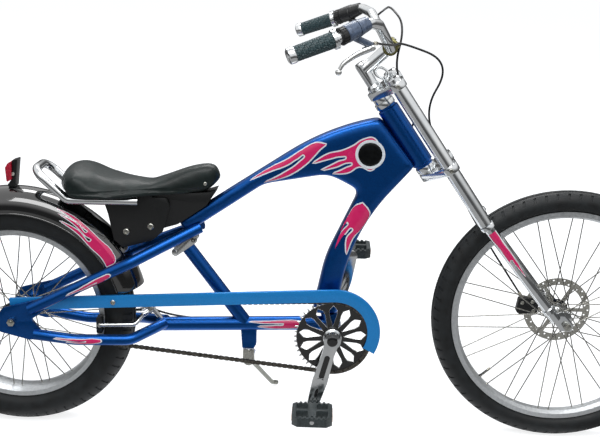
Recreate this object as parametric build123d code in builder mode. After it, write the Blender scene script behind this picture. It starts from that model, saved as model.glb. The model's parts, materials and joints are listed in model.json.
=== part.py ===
from build123d import *
from math import atan2, cos, hypot, pi, radians, sin
import os

# A long, low chopper bicycle. It is drawn upright, its rear tyre standing on the origin:
# X runs forward, Y to the rider's left, Z up, all in millimetres.
# At the end every piece is leant over to the left, onto the side stand, and the origin is
# brought to the floor under the bicycle's middle.

# How the bicycle stands, how far its middle is from the rear axle, and the fits of its pieces
lean_angle = 8.0
middle_x = 657.0
middle_y = 131.0
running_fit = 0.05
seat_gap = 0.3
tyre_gap = 5.5

# Wheels
wheelbase = 1299.5
spoke_count = 36
spoke_r = 1.1
flange_step = 2.2
flange_thick = 3.2
rear_tyre_r = 280.0
rear_tyre_half = 40.0
rear_rim_r = 211.0
rear_rim_half = 32.0
front_tyre_r = 308.0
front_tyre_half = 27.0
front_rim_r = 261.0
front_rim_half = 17.0
rim_wall = 3.0
rim_hook = 8.0
rim_well = 6.0
axle_r = 5.0
nut_r = 9.5
nut_thick = 8.0

# Steering: where its base lies behind and above the front axle, and what turns on it
head_angle = 55.3
head_reach = 391.0
head_rise = 427.0
head_tube_r = 21.0
head_tube_half = 82.0
cup_height = 12.0
cup_r = 23.5
steerer_r = 12.7
leg_offset = 45.5
leg_y = 65.0
leg_r = 15.5
lower_leg_r = 12.5
crown_thick = 18.0
crown_wall = 5.0
crown_gap = 13.0
crown_web = 47.5
crown_notch_r = 40.0
low_crown_gap = 4.0
kink_drop = 155.0
leg_foot = 8.0
bar_r = 11.1
stem_r = 14.0
stem_reach = 76.0
stem_rise = 63.0
cable_r = 2.5

# Frame: where the crank bracket and the top of the seat strut lie from the rear axle
bracket_reach = 756.0
bracket_drop = 24.0
saddle_reach = 384.0
saddle_rise = 206.0
junction_reach = 332.0
stay_r = 13.5
lower_stay_r = 13.0
lower_tube_r = 17.0
strut_r = 16.0
body_half = 30.0
body_rear_half = 19.0
body_round = 8.0
dropout_y = 68.0
dropout_thick = 8.0
bracket_r = 21.0
bracket_half = 36.5

# Rear mudguard
fender_gap = 32.0
fender_depth = 56.0
fender_side = 10.0
fender_wall = 2.2
fender_start = -70.0
fender_arc = 145.0

# Seat
seat_rise = 98.0
hoop_r = 10.0
hoop_half = 50.0
seat_plate_y = 33.0
seat_plate = 4.0

# Drive
chain_y = -52.0
chain_pitch = 12.7
ring_teeth = 44
sprocket_teeth = 16
chain_half_height = 4.4
plate_thick = 1.2
plate_gap = 3.0
roller_r = 3.6
ring_thick = 3.0
petals = 13
spindle_r = 8.5
crank_length = 170.0
crank_angle = 14.5
crank_in = 66.0
crank_thick = 14.0
pedal_length = 84.0
pedal_width = 94.0
pedal_height = 24.0
guard_width = 30.0
guard_wall = 2.2
guard_depth = 8.0
guard_y = -59.4
guard_clear = 17.0

# Brakes
disc_r = 80.0
disc_y = 42.0
disc_thick = 2.0
disc_slot = 5.0
caliper_half = 9.0
brake_arm_r = 5.0
pad_gap = 1.5

# Side stand
stand_reach = 557.0
stand_z = 172.0
stand_r = 5.5
pin_r = 4.5


def side(y):
    """The plane of the bicycle's side view at a given Y, its normal to the right."""
    return Plane.XZ.offset(-y)


def bar(start, end, radius):
    """A straight round bar from start to end."""
    start, end = Vector(start), Vector(end)
    with BuildPart() as piece:
        with BuildSketch(Plane(origin=start, z_dir=end - start)):
            Circle(radius)
        extrude(amount=(end - start).length)
    return piece.part


def bent_bar(points, radius, bends):
    """A round bar along a polyline whose corners have the given bend radii."""
    with BuildPart() as piece:
        with BuildLine() as path:
            FilletPolyline(*points, radius=bends)
        with BuildSketch(Plane(origin=path.line @ 0, z_dir=path.line % 0)):
            Circle(radius)
        sweep(path=path.line)
    return piece.part


def turned(start, end, profile):
    """A turned piece about the line from start to end, its profile in (distance, radius)."""
    start = Vector(start)
    way = (Vector(end) - start).normalized()
    with BuildPart() as piece:
        with BuildSketch(Plane(origin=start, x_dir=way, z_dir=way.cross(Vector(0, 0, 1)))):
            with BuildLine():
                Polyline((profile[0][0], 0), *profile, (profile[-1][0], 0), close=True)
            make_face()
        revolve(axis=Axis(start, way))
    return piece.part


def plate(outline, y, thick, corner):
    """A flat plate in the side view with rounded corners, from Y to Y + thick."""
    with BuildPart() as piece:
        with BuildSketch(side(y + thick)) as face:
            with BuildLine():
                Polyline(*outline, close=True)
            make_face()
            fillet(face.vertices(), corner)
        extrude(amount=thick)
    return piece.part


def mirrored(part):
    """The same part on the bicycle's other side."""
    return part.mirror(Plane.XZ)


def around(point, *offsets):
    """Side-view points given by their offsets from a point of the bicycle."""
    return [(point.X + x, point.Z + z) for x, z in offsets]


# Where the axles, the crank bracket, the seat strut and the steering axis are
rear_axle = Vector(0, 0, rear_tyre_r)
front_axle = Vector(wheelbase, 0, front_tyre_r)
bracket = rear_axle + Vector(bracket_reach, 0, -bracket_drop)
saddle = rear_axle + Vector(saddle_reach, 0, saddle_rise)
steer_base = front_axle + Vector(-head_reach, 0, head_rise)
steer_up = Vector(-cos(radians(head_angle)), 0, sin(radians(head_angle)))
steer_out = Vector(sin(radians(head_angle)), 0, cos(radians(head_angle)))
steer = Plane(origin=steer_base, x_dir=steer_out, z_dir=steer_up)
axle_s = (front_axle - steer_base).dot(steer_up)
axle_out = (front_axle - steer_base).dot(steer_out)
seat_base_z = saddle.Z + seat_rise
cup_top = head_tube_half + cup_height
crown_at = cup_top + crown_gap + crown_thick / 2
low_crown_at = -cup_top - low_crown_gap - crown_thick / 2
kink_s = low_crown_at - kink_drop


def on_fork(out, y, s):
    """A point given by its offset ahead of the steering axis, Y and height along it."""
    return steer_base + steer_out * out + Vector(0, y, 0) + steer_up * s


pieces = {}

# Wheels: columns are axle, tyre radius, tyre half width, rim radius, rim half width,
# flange radius, flange Y on the right and on the left, hub body radius, hub ends in Y
wheel_table = {
    "rear": (rear_axle, rear_tyre_r, rear_tyre_half, rear_rim_r, rear_rim_half,
             25.0, -30.0, 30.0, 15.0, -43.0, 60.0),
    "front": (front_axle, front_tyre_r, front_tyre_half, front_rim_r, front_rim_half,
              21.0, -30.0, 26.0, 13.0, -47.0, 47.0),
}
for end, row in wheel_table.items():
    axle, tyre_r, tyre_half, rim_r, rim_half, flange_r, right_y, left_y, hub_r, *ends = row
    section = Plane(origin=axle, x_dir=(0, 1, 0), z_dir=(1, 0, 0))
    spin = Axis(axle, (0, 1, 0))
    bed_r = rim_r - rim_hook
    well_r = bed_r - rim_well
    inner_r = well_r - rim_wall
    seat_half = rim_half - rim_wall

    with BuildPart() as rim:
        with BuildSketch(section):
            with BuildLine():
                Polyline((-rim_half, rim_r), (-seat_half, rim_r), (-seat_half, bed_r),
                         (-rim_half / 2, well_r), (rim_half / 2, well_r), (seat_half, bed_r),
                         (seat_half, rim_r), (rim_half, rim_r), (rim_half, bed_r - rim_wall),
                         (rim_half / 2, inner_r), (-rim_half / 2, inner_r),
                         (-rim_half, bed_r - rim_wall), close=True)
            make_face()
        revolve(axis=spin)
    pieces[end + "_rim"] = rim

    # The tyre sits on the rim's bed, bulges out to its width and closes in the crown
    height = tyre_r - rim_r
    shoulder = (0.75 * tyre_half, tyre_r - 0.2 * height)
    with BuildPart() as tyre:
        with BuildSketch(section):
            with BuildLine():
                Polyline((-seat_half, rim_r + 1), (-seat_half, bed_r), (seat_half, bed_r),
                         (seat_half, rim_r + 1))
                ThreePointArc((seat_half, rim_r + 1), (tyre_half, rim_r + 0.45 * height), shoulder)
                ThreePointArc(shoulder, (0, tyre_r), (-shoulder[0], shoulder[1]))
                ThreePointArc((-shoulder[0], shoulder[1]), (-tyre_half, rim_r + 0.45 * height),
                              (-seat_half, rim_r + 1))
            make_face()
        revolve(axis=spin)
    pieces[end + "_tyre"] = tyre

    with BuildPart() as hub:
        with BuildSketch(section):
            for y in (right_y, left_y):
                with Locations((y, 0)):
                    Rectangle(flange_thick, flange_r, align=(Align.CENTER, Align.MIN))
            with Locations(((right_y + left_y) / 2, 0)):
                Rectangle(left_y - right_y, hub_r, align=(Align.CENTER, Align.MIN))
            with Locations((sum(ends) / 2, 0)):
                Rectangle(ends[1] - ends[0], 2 * axle_r, align=(Align.CENTER, Align.MIN))
            with Locations((sum(ends) / 2, 0)):
                Rectangle(2 * (ends[1] - ends[0]), axle_r + running_fit,
                          align=(Align.CENTER, Align.MIN), mode=Mode.SUBTRACT)
        revolve(axis=spin)
    pieces[end + "_hub"] = hub

    # Spokes: columns are flange Y, which side of the flange, and the way it leads
    spoke_sets = [(right_y, -1, 1), (right_y, 1, -1), (left_y, 1, 1), (left_y, -1, -1)]
    each = spoke_count // len(spoke_sets)
    start_r = flange_r + seat_gap
    end_r = inner_r - seat_gap
    with BuildPart() as spokes:
        for number, (flange_y, face, lead) in enumerate(spoke_sets):
            rim_y = 5 if flange_y > 0 else -5
            start_y = flange_y + face * flange_step
            for turn in range(each):
                hub_at = 2 * pi / each * (turn + number / len(spoke_sets))
                rim_at = hub_at + lead * radians(62)
                start = axle + Vector(start_r * cos(hub_at), start_y, start_r * sin(hub_at))
                finish = axle + Vector(end_r * cos(rim_at), rim_y, end_r * sin(rim_at))
                with BuildSketch(Plane(origin=start, z_dir=finish - start)):
                    Circle(spoke_r)
                extrude(amount=(finish - start).length)
        add(hub.part, mode=Mode.SUBTRACT)
    pieces[end + "_spokes"] = spokes

# Brake disc on the left of the front hub: a drilled ring on six arms and a carrier
ring_width = 17.0
with BuildPart() as brake_disc:
    with BuildSketch(side(disc_y + disc_thick / 2)):
        with Locations((front_axle.X, front_axle.Z)):
            Circle(disc_r)
            Circle(disc_r - ring_width, mode=Mode.SUBTRACT)
            Circle(disc_r / 3)
            with PolarLocations(0, 6):
                Rectangle(disc_r - ring_width / 2, 9, align=(Align.MIN, Align.CENTER))
            for reach, turn in ((disc_r - 5, 0), (disc_r - 12, 10)):
                with PolarLocations(reach, 18, start_angle=turn):
                    Circle(2.2, mode=Mode.SUBTRACT)
            Circle(2 * axle_r + seat_gap, mode=Mode.SUBTRACT)
    extrude(amount=disc_thick)
pieces["brake_disc"] = brake_disc

# Frame: the boxy main body, drawn along the beam from the seat strut to the steering
beam = steer_base - saddle
beam_way = beam.normalized()
beam_up = Vector(-beam_way.Z, 0, beam_way.X)


def on_body(share, rise):
    """A side-view point by its share of the beam's length and its height over the beam."""
    point = saddle + beam * share + beam_up * rise
    return (point.X, point.Z)


leg_rear, leg_knee, leg_front = around(bracket, (-51, 44), (-23, 186), (14, 44))
with BuildPart() as frame_body:
    with BuildSketch(side(0)):
        with BuildLine():
            back = Line(on_body(0.027, 30.3), on_body(0.554, 74.1))
            crest = TangentArc(on_body(0.554, 74.1), on_body(0.939, 62.1), tangent=back % 1)
            Line(crest @ 1, on_body(0.992, -71.9))
            throat = Line(on_body(0.992, -71.9), on_body(0.863, -105.2))
            TangentArc(on_body(0.863, -105.2), leg_front, tangent=throat % 1)
            Line(leg_front, leg_rear)
            FilletPolyline(leg_rear, leg_knee, on_body(0.748, -73.5), on_body(0.661, -9.6),
                           on_body(0.412, 28.1), on_body(0.033, -8.1), radius=[280, 14, 60, 40])
            Line(on_body(0.033, -8.1), on_body(0.027, 30.3))
        make_face()
    extrude(amount=2 * body_half, both=True)
    with BuildSketch(Plane.XY.offset(bracket.Z)):
        with BuildLine():
            Polyline((saddle.X - 10, -body_rear_half), (steer_base.X, -body_half),
                     (steer_base.X + 200, -body_half), (steer_base.X + 200, body_half),
                     (steer_base.X, body_half), (saddle.X - 10, body_rear_half), close=True)
        make_face()
    extrude(amount=4 * saddle_rise, mode=Mode.INTERSECT)
    sides = frame_body.faces().filter_by(lambda face: abs(face.normal_at().Y) > 0.9)
    fillet(sides.edges(), radius=body_round)
    with BuildSketch(steer.offset(-2 * head_tube_half)):
        Circle(head_tube_r)
    extrude(amount=4 * head_tube_half, mode=Mode.SUBTRACT)
pieces["frame_body"] = frame_body

with BuildPart() as head_tube:
    with BuildSketch(steer.offset(-head_tube_half)):
        Circle(head_tube_r)
        Circle(steerer_r + 3, mode=Mode.SUBTRACT)
    extrude(amount=2 * head_tube_half)
pieces["head_tube"] = head_tube

with BuildPart() as headset:
    for low in (head_tube_half, -head_tube_half - cup_height):
        with BuildSketch(steer.offset(low)):
            Circle(cup_r)
            Circle(steerer_r + running_fit, mode=Mode.SUBTRACT)
        extrude(amount=cup_height)
pieces["headset"] = headset

# Bottom bracket shell with the tube that runs back from it to the lower stays
tube_rear = rear_axle + Vector(junction_reach, 0, -bracket_drop)
tube_front = bracket + Vector(-8, 0, 16)
with BuildPart() as shell_hole:
    with BuildSketch(side(bracket_half)):
        with Locations((bracket.X, bracket.Z)):
            Circle(spindle_r + running_fit)
    extrude(amount=2 * bracket_half)
with BuildPart() as lower_tube:
    with BuildSketch(side(bracket_half)):
        with Locations((bracket.X, bracket.Z)):
            Circle(bracket_r)
    extrude(amount=2 * bracket_half)
    add(bar(tube_rear, tube_front, lower_tube_r))
    add(bar(bracket + Vector(-19, 0, 74), bracket + Vector(0, 0, 12), bracket_r - 1))
    add(frame_body.part, mode=Mode.SUBTRACT)
    add(shell_hole.part, mode=Mode.SUBTRACT)
pieces["lower_tube"] = lower_tube

# Dropout plates with the rounded notch between the stays, and the upper and lower stays
yoke_outline = around(rear_axle, (-30, -26), (40, -44), (66, -42), (66, -18), (46, 6), (82, 34),
                      (72, 58), (-18, 34), (-33, 12))
with BuildPart() as dropout_right:
    add(plate(yoke_outline, -dropout_y - dropout_thick, dropout_thick, 7))
    with BuildSketch(side(0)):
        with Locations((0, rear_axle.Z)):
            Circle(axle_r + running_fit)
    extrude(amount=2 * dropout_y, mode=Mode.SUBTRACT)
stay_y = dropout_y + dropout_thick - 1
upper_y = rear_tyre_half + stay_r + 16.5
lower_y = rear_tyre_half + lower_stay_r + 19
upper_path = [rear_axle + Vector(44, -stay_y, 32), rear_axle + Vector(280, -upper_y, 150),
              saddle + Vector(56, -14, 21)]
lower_path = [rear_axle + Vector(52, -stay_y, -30), rear_axle + Vector(150, -lower_y, -42),
              rear_axle + Vector(280, -lower_y, -38), tube_rear + Vector(20, -10, 6)]
upper_right = bent_bar(upper_path, stay_r, 90)
lower_right = bent_bar(lower_path, lower_stay_r, [120, 40])
fender_half = rear_tyre_half + fender_side
lug_at = rear_axle + Vector(230, 0, 125)
for hand, flip in (("right", False), ("left", True)):
    yoke = mirrored(dropout_right.part) if flip else dropout_right.part
    upper = mirrored(upper_right) if flip else upper_right
    lower = mirrored(lower_right) if flip else lower_right
    out = 1 if flip else -1
    with BuildPart() as upper_stay:
        add(upper)
        add(bar(lug_at + Vector(0, out * fender_half, 0),
                lug_at + Vector(0, out * (fender_half + stay_y) / 2, 0), 6))
        add(frame_body.part, mode=Mode.SUBTRACT)
        split(bisect_by=Plane.XZ, keep=Keep.BOTTOM if flip else Keep.TOP)
    with BuildPart() as lower_stay:
        add(lower)
        add(yoke)
        add(upper_stay.part, mode=Mode.SUBTRACT)
        add(lower_tube.part, mode=Mode.SUBTRACT)
        split(bisect_by=Plane.XZ, keep=Keep.BOTTOM if flip else Keep.TOP)
    pieces["upper_stay_" + hand] = upper_stay
    pieces["lower_stay_" + hand] = lower_stay

# Seat strut, and the clamp on it: a bright bar on each side, bolted at both ends
strut_foot = tube_rear + (tube_front - tube_rear) * 0.52
strut_way = (strut_foot - saddle).normalized()
clamp_down = 31.0
clamp_length = 71.0
clamp_width = 18.0
clamp_thick = 5.0
with BuildPart() as seat_strut:
    add(bar(saddle, strut_foot, strut_r))
    add(frame_body.part, mode=Mode.SUBTRACT)
    add(lower_tube.part, mode=Mode.SUBTRACT)
    for hand in ("right", "left"):
        add(pieces["upper_stay_" + hand].part, mode=Mode.SUBTRACT)
pieces["seat_strut"] = seat_strut
clamp_plane = Plane(origin=saddle + strut_way * clamp_down,
                    x_dir=(-strut_way.Z, 0, strut_way.X), z_dir=(0, -1, 0))
with BuildPart() as strut_clamp:
    for y in (strut_r, -strut_r - clamp_thick):
        with BuildSketch(clamp_plane.offset(y)):
            SlotOverall(clamp_length, clamp_width)
        extrude(amount=clamp_thick)
    with BuildSketch(clamp_plane.offset(-strut_r - clamp_thick - 4)):
        with GridLocations(clamp_length - clamp_width, 0, 2, 1):
            Circle(4)
    extrude(amount=2 * (strut_r + clamp_thick + 4))
    for hand in ("right", "left"):
        add(pieces["upper_stay_" + hand].part, mode=Mode.SUBTRACT)
pieces["strut_clamp"] = strut_clamp

# Rear axle with its nuts
with BuildPart() as rear_axle_rod:
    nut_y = dropout_y + dropout_thick
    end_y = nut_y + nut_thick + 2
    add(bar(rear_axle - Vector(0, end_y, 0), rear_axle + Vector(0, end_y, 0), axle_r))
    for y in (-nut_y, nut_y + nut_thick):
        with BuildSketch(side(y)):
            with Locations((0, rear_axle.Z)):
                RegularPolygon(nut_r, 6)
        extrude(amount=nut_thick)
pieces["rear_axle"] = rear_axle_rod

# Chain: on each side a row of plates, waisted between the pins, and rollers on the
# straight runs, where no tooth passes between them
ring_pitch_r = chain_pitch / 2 / sin(pi / ring_teeth)
sprocket_pitch_r = chain_pitch / 2 / sin(pi / sprocket_teeth)
run_length = hypot(bracket_reach, bracket_drop)
run_angle = atan2(-bracket_drop, bracket_reach)
spread = atan2(ring_pitch_r - sprocket_pitch_r, run_length)
run_links = int(run_length * cos(spread) / chain_pitch)


def chain_loop(grow):
    """The face inside the chain's loop, grown by a distance from its pitch line."""
    with BuildSketch() as loop:
        with BuildLine():
            CenterArc((0, rear_axle.Z), sprocket_pitch_r + grow, 0, 360)
            CenterArc((bracket.X, bracket.Z), ring_pitch_r + grow, 0, 360)
        make_hull()
    return loop.sketch


def chain_run(hand, link):
    """A pin's place on the upper (1) or lower (-1) straight run, and the run's normal."""
    normal = run_angle + hand * (pi / 2 + spread)
    way = Vector(cos(normal), 0, sin(normal))
    start = rear_axle + way * sprocket_pitch_r
    finish = bracket + way * ring_pitch_r
    return start + (finish - start) * (link / run_links), way


with BuildPart() as chain:
    for y in (chain_y + plate_gap, chain_y - plate_gap + plate_thick):
        with BuildSketch(side(y)):
            add(chain_loop(chain_half_height))
            add(chain_loop(-chain_half_height), mode=Mode.SUBTRACT)
            for hand in (1, -1):
                for link in range(3, run_links - 4):
                    at, way = chain_run(hand, link + 0.5)
                    for reach in (chain_half_height + 2, -chain_half_height - 2):
                        with Locations((at.X + way.X * reach, at.Z + way.Z * reach)):
                            RegularPolygon(3.6, 6, mode=Mode.SUBTRACT)
        extrude(amount=plate_thick)
    with BuildSketch(side(chain_y + plate_gap - plate_thick / 2)):
        for hand in (1, -1):
            for link in range(3, run_links - 3):
                at, way = chain_run(hand, link)
                with Locations((at.X, at.Z)):
                    RegularPolygon(roller_r, 6)
    extrude(amount=2 * plate_gap - plate_thick)
pieces["chain"] = chain


def toothed(centre, teeth, pitch_r, thick):
    """A toothed disc on the chain line."""
    with BuildPart() as piece:
        with BuildSketch(side(chain_y + thick / 2)):
            with Locations(centre):
                Circle(pitch_r - 3.6)
                with PolarLocations(pitch_r - 4.2, teeth):
                    Trapezoid(6.4, 8.0, 72, rotation=-90, align=(Align.CENTER, Align.MIN))
        extrude(amount=thick)
    return piece.part


with BuildPart() as rear_sprocket:
    add(toothed((0, rear_axle.Z), sprocket_teeth, sprocket_pitch_r, ring_thick))
    with BuildSketch(side(chain_y + 7)):
        with Locations((0, rear_axle.Z)):
            Circle(20)
    extrude(amount=dropout_y + chain_y + 7)
    with BuildSketch(side(0)):
        with Locations((0, rear_axle.Z)):
            Circle(axle_r + running_fit)
    extrude(amount=2 * dropout_y, mode=Mode.SUBTRACT)
pieces["rear_sprocket"] = rear_sprocket

# Chain guard: a face plate with a wall over the chain, curled round the chainring
curl_r = ring_pitch_r + guard_clear
with BuildPart() as chain_guard:
    for depth, width in ((guard_depth, guard_wall), (guard_wall, guard_width)):
        with BuildSketch(side(guard_y + depth)):
            with BuildLine():
                top = Line((rear_axle.X - 8, rear_axle.Z + 52), (bracket.X, bracket.Z + curl_r + 14))
                curl = JernArc(top @ 1, top % 1, curl_r, -122)
                offset(amount=width, side=Side.RIGHT)
            make_face()
        extrude(amount=depth)
pieces["chain_guard"] = chain_guard

# Rear mudguard
crest_r = rear_tyre_r + fender_gap
hem_r = crest_r - fender_depth
haunch_r = crest_r - fender_depth / 2
spin = Axis(rear_axle, (0, 1, 0))
with BuildPart() as rear_fender:
    with BuildSketch(Plane(origin=rear_axle, x_dir=(0, 1, 0), z_dir=(1, 0, 0))):
        with BuildLine():
            inner = fender_half - fender_wall
            Line((-fender_half, hem_r), (-fender_half, haunch_r))
            ThreePointArc((-fender_half, haunch_r), (0, crest_r), (fender_half, haunch_r))
            Polyline((fender_half, haunch_r), (fender_half, hem_r), (inner, hem_r), (inner, haunch_r))
            ThreePointArc((inner, haunch_r), (0, crest_r - fender_wall), (-inner, haunch_r))
            Polyline((-inner, haunch_r), (-inner, hem_r), (-fender_half, hem_r))
        make_face()
    revolve(axis=spin, revolution_arc=fender_arc)
rear_fender.part = rear_fender.part.rotate(spin, fender_start)
pieces["rear_fender"] = rear_fender

# Reflector on its bracket at the top of the mudguard
top = rear_axle + Vector(0, 0, crest_r)
lens_half = 20.0
with BuildPart() as reflector_bracket:
    add(plate(around(top, (-9, 0), (8, 0), (10, 18), (16, 66), (3, 62), (2, 20), (-9, 6)),
              -lens_half + 6, 2 * lens_half - 12, 1.5))
    add(rear_fender.part, mode=Mode.SUBTRACT)
pieces["reflector_bracket"] = reflector_bracket
with BuildPart() as reflector:
    add(plate(around(top, (-10, 12), (1.7, 18), (2.7, 62), (-6, 56), (-12, 46)),
              -lens_half, 2 * lens_half, 2))
    add(reflector_bracket.part, mode=Mode.SUBTRACT)
pieces["reflector"] = reflector

# Seat: its side and plan outlines, rounded all over its upper edge
seat_side = around(saddle, (-263, 128), (-254, 160), (-228, 170), (-180, 148), (-110, 131), (-63, 130),
                   (-4, 151), (66, 176), (100, 168), (115, 146), (77, 108), (-54, seat_rise),
                   (-204, seat_rise), (-250, 108))
seat_plan = [(-264, 62), (-235, 92), (-205, 98), (-150, 92), (-100, 66), (-50, 45), (30, 33), (90, 28), (115, 14)]
with BuildPart() as seat:
    with BuildSketch(side(0)):
        with BuildLine():
            Spline(*seat_side[:11], tangents=[(0, 1), (-0.7, -0.7)])
            Polyline(seat_side[10], *seat_side[11:], seat_side[0])
        make_face()
    extrude(amount=120, both=True)
    with BuildSketch(Plane.XY.offset(saddle.Z)):
        with BuildLine():
            near = [(saddle.X + x, -y) for x, y in seat_plan]
            far = [(saddle.X + x, y) for x, y in reversed(seat_plan)]
            Polyline(*near, *far, close=True)
        make_face()
    extrude(amount=3 * seat_rise, mode=Mode.INTERSECT)
pieces["seat"] = seat

# Seat bracket: two side plates under a pan, and a web that stands on the frame body
pan_z = seat_base_z - seat_gap
with BuildPart() as seat_bracket:
    with BuildSketch(side(24)):
        with BuildLine():
            Polyline((saddle.X - 180, pan_z), (saddle.X - 54, pan_z), (saddle.X + 77, pan_z + 9.8),
                     (saddle.X + 96, pan_z + 16), *around(saddle, (71, 76), (4, 29), (-44, 14)),
                     (saddle.X - 180, pan_z - 6), close=True)
        make_face()
    extrude(amount=48)
    with BuildSketch(side(21)):
        with BuildLine():
            Polyline((saddle.X - 190, pan_z - 4), (saddle.X - 54, pan_z - 4),
                     (saddle.X + 56, pan_z + 4), *around(saddle, (-4, -6), (-190, -6)), close=True)
        make_face()
    extrude(amount=42, mode=Mode.SUBTRACT)
    for y in (-seat_plate_y - seat_plate, seat_plate_y):
        add(plate(around(saddle, (-169, 95), (-19, 95), (-12, 74), (-29, 14), (-54, -8), (-122, -28),
                         (-144, -8), (-156, 54)), y, seat_plate, 9))
    with BuildSketch(side(seat_plate_y + seat_plate)):
        with BuildLine():
            Polyline((saddle.X - 165, pan_z), (saddle.X - 54, pan_z), (saddle.X - 54, pan_z - 4),
                     (saddle.X - 165, pan_z - 4), close=True)
        make_face()
        with Locations(*around(saddle, (-114, 12), (-57, 26))):
            Circle(5)
    extrude(amount=2 * (seat_plate_y + seat_plate))
    for name in ("frame_body", "upper_stay_right", "upper_stay_left", "rear_fender", "seat"):
        add(pieces[name].part, mode=Mode.SUBTRACT)
pieces["seat_bracket"] = seat_bracket

hoop_z = seat_base_z - seat_gap - hoop_r
hoop_y = seat_plate_y + seat_plate + hoop_r
hoop_path = [(saddle.X - 84, -hoop_y, hoop_z), (saddle.X - 246, -hoop_half, hoop_z),
             (saddle.X - 320, -hoop_half, seat_base_z + 57)]
hoop_path += [(x, -y, z) for x, y, z in reversed(hoop_path)]
with BuildPart() as grab_hoop:
    add(bent_bar(hoop_path, hoop_r, [25, 32, 32, 25]))
pieces["grab_hoop"] = grab_hoop

# Stand: a blue bracket under the lower tube, its slanting pin, and the leg that swings on it,
# its foot hooked outwards
stand_pivot = Vector(stand_reach, 0, stand_z)
knee = stand_pivot + Vector(47, 162, -136)
foot = knee + Vector(12, 14, -7)
leg_down = (knee - stand_pivot).normalized()
leg_up = Vector(-0.97, 0.22, 0.05).normalized()
pin_way = leg_down.cross(leg_up).normalized()
with BuildPart() as stand_bracket:
    with BuildSketch(side(10)):
        with BuildLine():
            Polyline((stand_pivot.X - 22, bracket.Z + 6), (stand_pivot.X + 16, bracket.Z + 6),
                     *around(stand_pivot, (16, 42), (6, 24), (-10, 21), (-18, 34)), close=True)
        make_face()
    extrude(amount=20)
    add(lower_tube.part, mode=Mode.SUBTRACT)
    add(bar(stand_pivot + pin_way * 6, stand_pivot + pin_way * 24, 9))
    add(bar(stand_pivot - pin_way * 9, stand_pivot + pin_way * 8, pin_r))
    add(bar(stand_pivot - pin_way * 9, stand_pivot - pin_way * 5.5, 7))
pieces["stand_bracket"] = stand_bracket

with BuildPart() as stand_leg:
    add(bar(stand_pivot - pin_way * 5, stand_pivot + pin_way * 5, 10))
    add(bent_bar([stand_pivot + leg_down * 5, knee, foot], stand_r, 9))
    add(bar(stand_pivot - pin_way * 20, stand_pivot + pin_way * 20, pin_r + running_fit),
        mode=Mode.SUBTRACT)
pieces["stand_leg"] = stand_leg

# Fork: steerer, stanchions, two crowns, and the lower legs with their dropout lugs
with BuildPart() as steerer:
    add(turned(on_fork(0, 0, low_crown_at - crown_thick / 2), on_fork(0, 0, crown_at),
               [(0, steerer_r), (crown_at - low_crown_at + crown_thick, steerer_r)]))
    for low, high in ((cup_top, crown_at - crown_thick / 2),
                      (low_crown_at + crown_thick / 2, -cup_top)):
        add(turned(on_fork(0, 0, low + seat_gap), on_fork(0, 0, high),
                   [(0, cup_r - 3), (high - low - seat_gap, cup_r - 3)]))
pieces["steerer"] = steerer

with BuildPart() as stanchions:
    for y in (-leg_y, leg_y):
        add(turned(on_fork(leg_offset, y, kink_s), on_fork(leg_offset, y, crown_at),
                   [(0, leg_r - 1.5), (1.5, leg_r), (crown_at - kink_s + crown_thick, leg_r),
                    (crown_at - kink_s + crown_thick + 2, leg_r - 2)]))
pieces["stanchions"] = stanchions

with BuildPart() as fork_crowns:
    for level in (crown_at, low_crown_at):
        with BuildSketch(steer.offset(level - crown_thick / 2)):
            Circle(cup_r)
            with Locations((leg_offset, -leg_y), (leg_offset, leg_y)):
                Circle(leg_r + crown_wall)
            make_hull()
            with Locations((crown_web + crown_notch_r, 0)):
                Circle(crown_notch_r, mode=Mode.SUBTRACT)
        extrude(amount=crown_thick)
    add(steerer.part, mode=Mode.SUBTRACT)
    add(stanchions.part, mode=Mode.SUBTRACT)
pieces["fork_crowns"] = fork_crowns

with BuildPart() as fork_legs:
    for y in (-leg_y, leg_y):
        top = on_fork(leg_offset + 1, y, kink_s)
        low = on_fork(axle_out - 14, y, axle_s + 26)
        add(bar(top, low, lower_leg_r))
        lug = [(low.X - 15, low.Z + 9), (low.X + 12, low.Z + 22),
               *around(front_axle, (16, 3), (10, -14), (-14, -12))]
        add(plate(lug, y - leg_foot / 2, leg_foot, 6))
    add(stanchions.part, mode=Mode.SUBTRACT)
    add(bar(front_axle - Vector(0, 2 * leg_y, 0), front_axle + Vector(0, 2 * leg_y, 0),
            axle_r + running_fit), mode=Mode.SUBTRACT)
pieces["fork_legs"] = fork_legs

with BuildPart() as front_axle_rod:
    nut_y = leg_y + leg_foot / 2
    end_y = nut_y + nut_thick + 2
    add(bar(front_axle - Vector(0, end_y, 0), front_axle + Vector(0, end_y, 0), axle_r))
    for y in (-nut_y, nut_y + nut_thick):
        with BuildSketch(side(y)):
            with Locations((front_axle.X, front_axle.Z)):
                RegularPolygon(nut_r, 6)
        extrude(amount=nut_thick)
pieces["front_axle"] = front_axle_rod

# Stem and handlebar: the bar's bends on the right, from the clamp out to the grip
bar_at = on_fork(stem_reach, 0, crown_at + stem_rise + 9)
bar_bends = [bar_at + Vector(x, -y, z) for x, y, z in
             ((0, 38, 0), (-18, 110, 33), (-36, 185, 63), (-58, 235, 70), (-119, 275, 42),
              (-211, 300, 8))]
bar_path = list(reversed(bar_bends)) + [Vector(p.X, -p.Y, p.Z) for p in bar_bends]
bend_radii = [25, 30, 30, 25, 40]
with BuildPart() as handlebar:
    add(bent_bar(bar_path, bar_r, bend_radii + list(reversed(bend_radii))))
pieces["handlebar"] = handlebar

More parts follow.
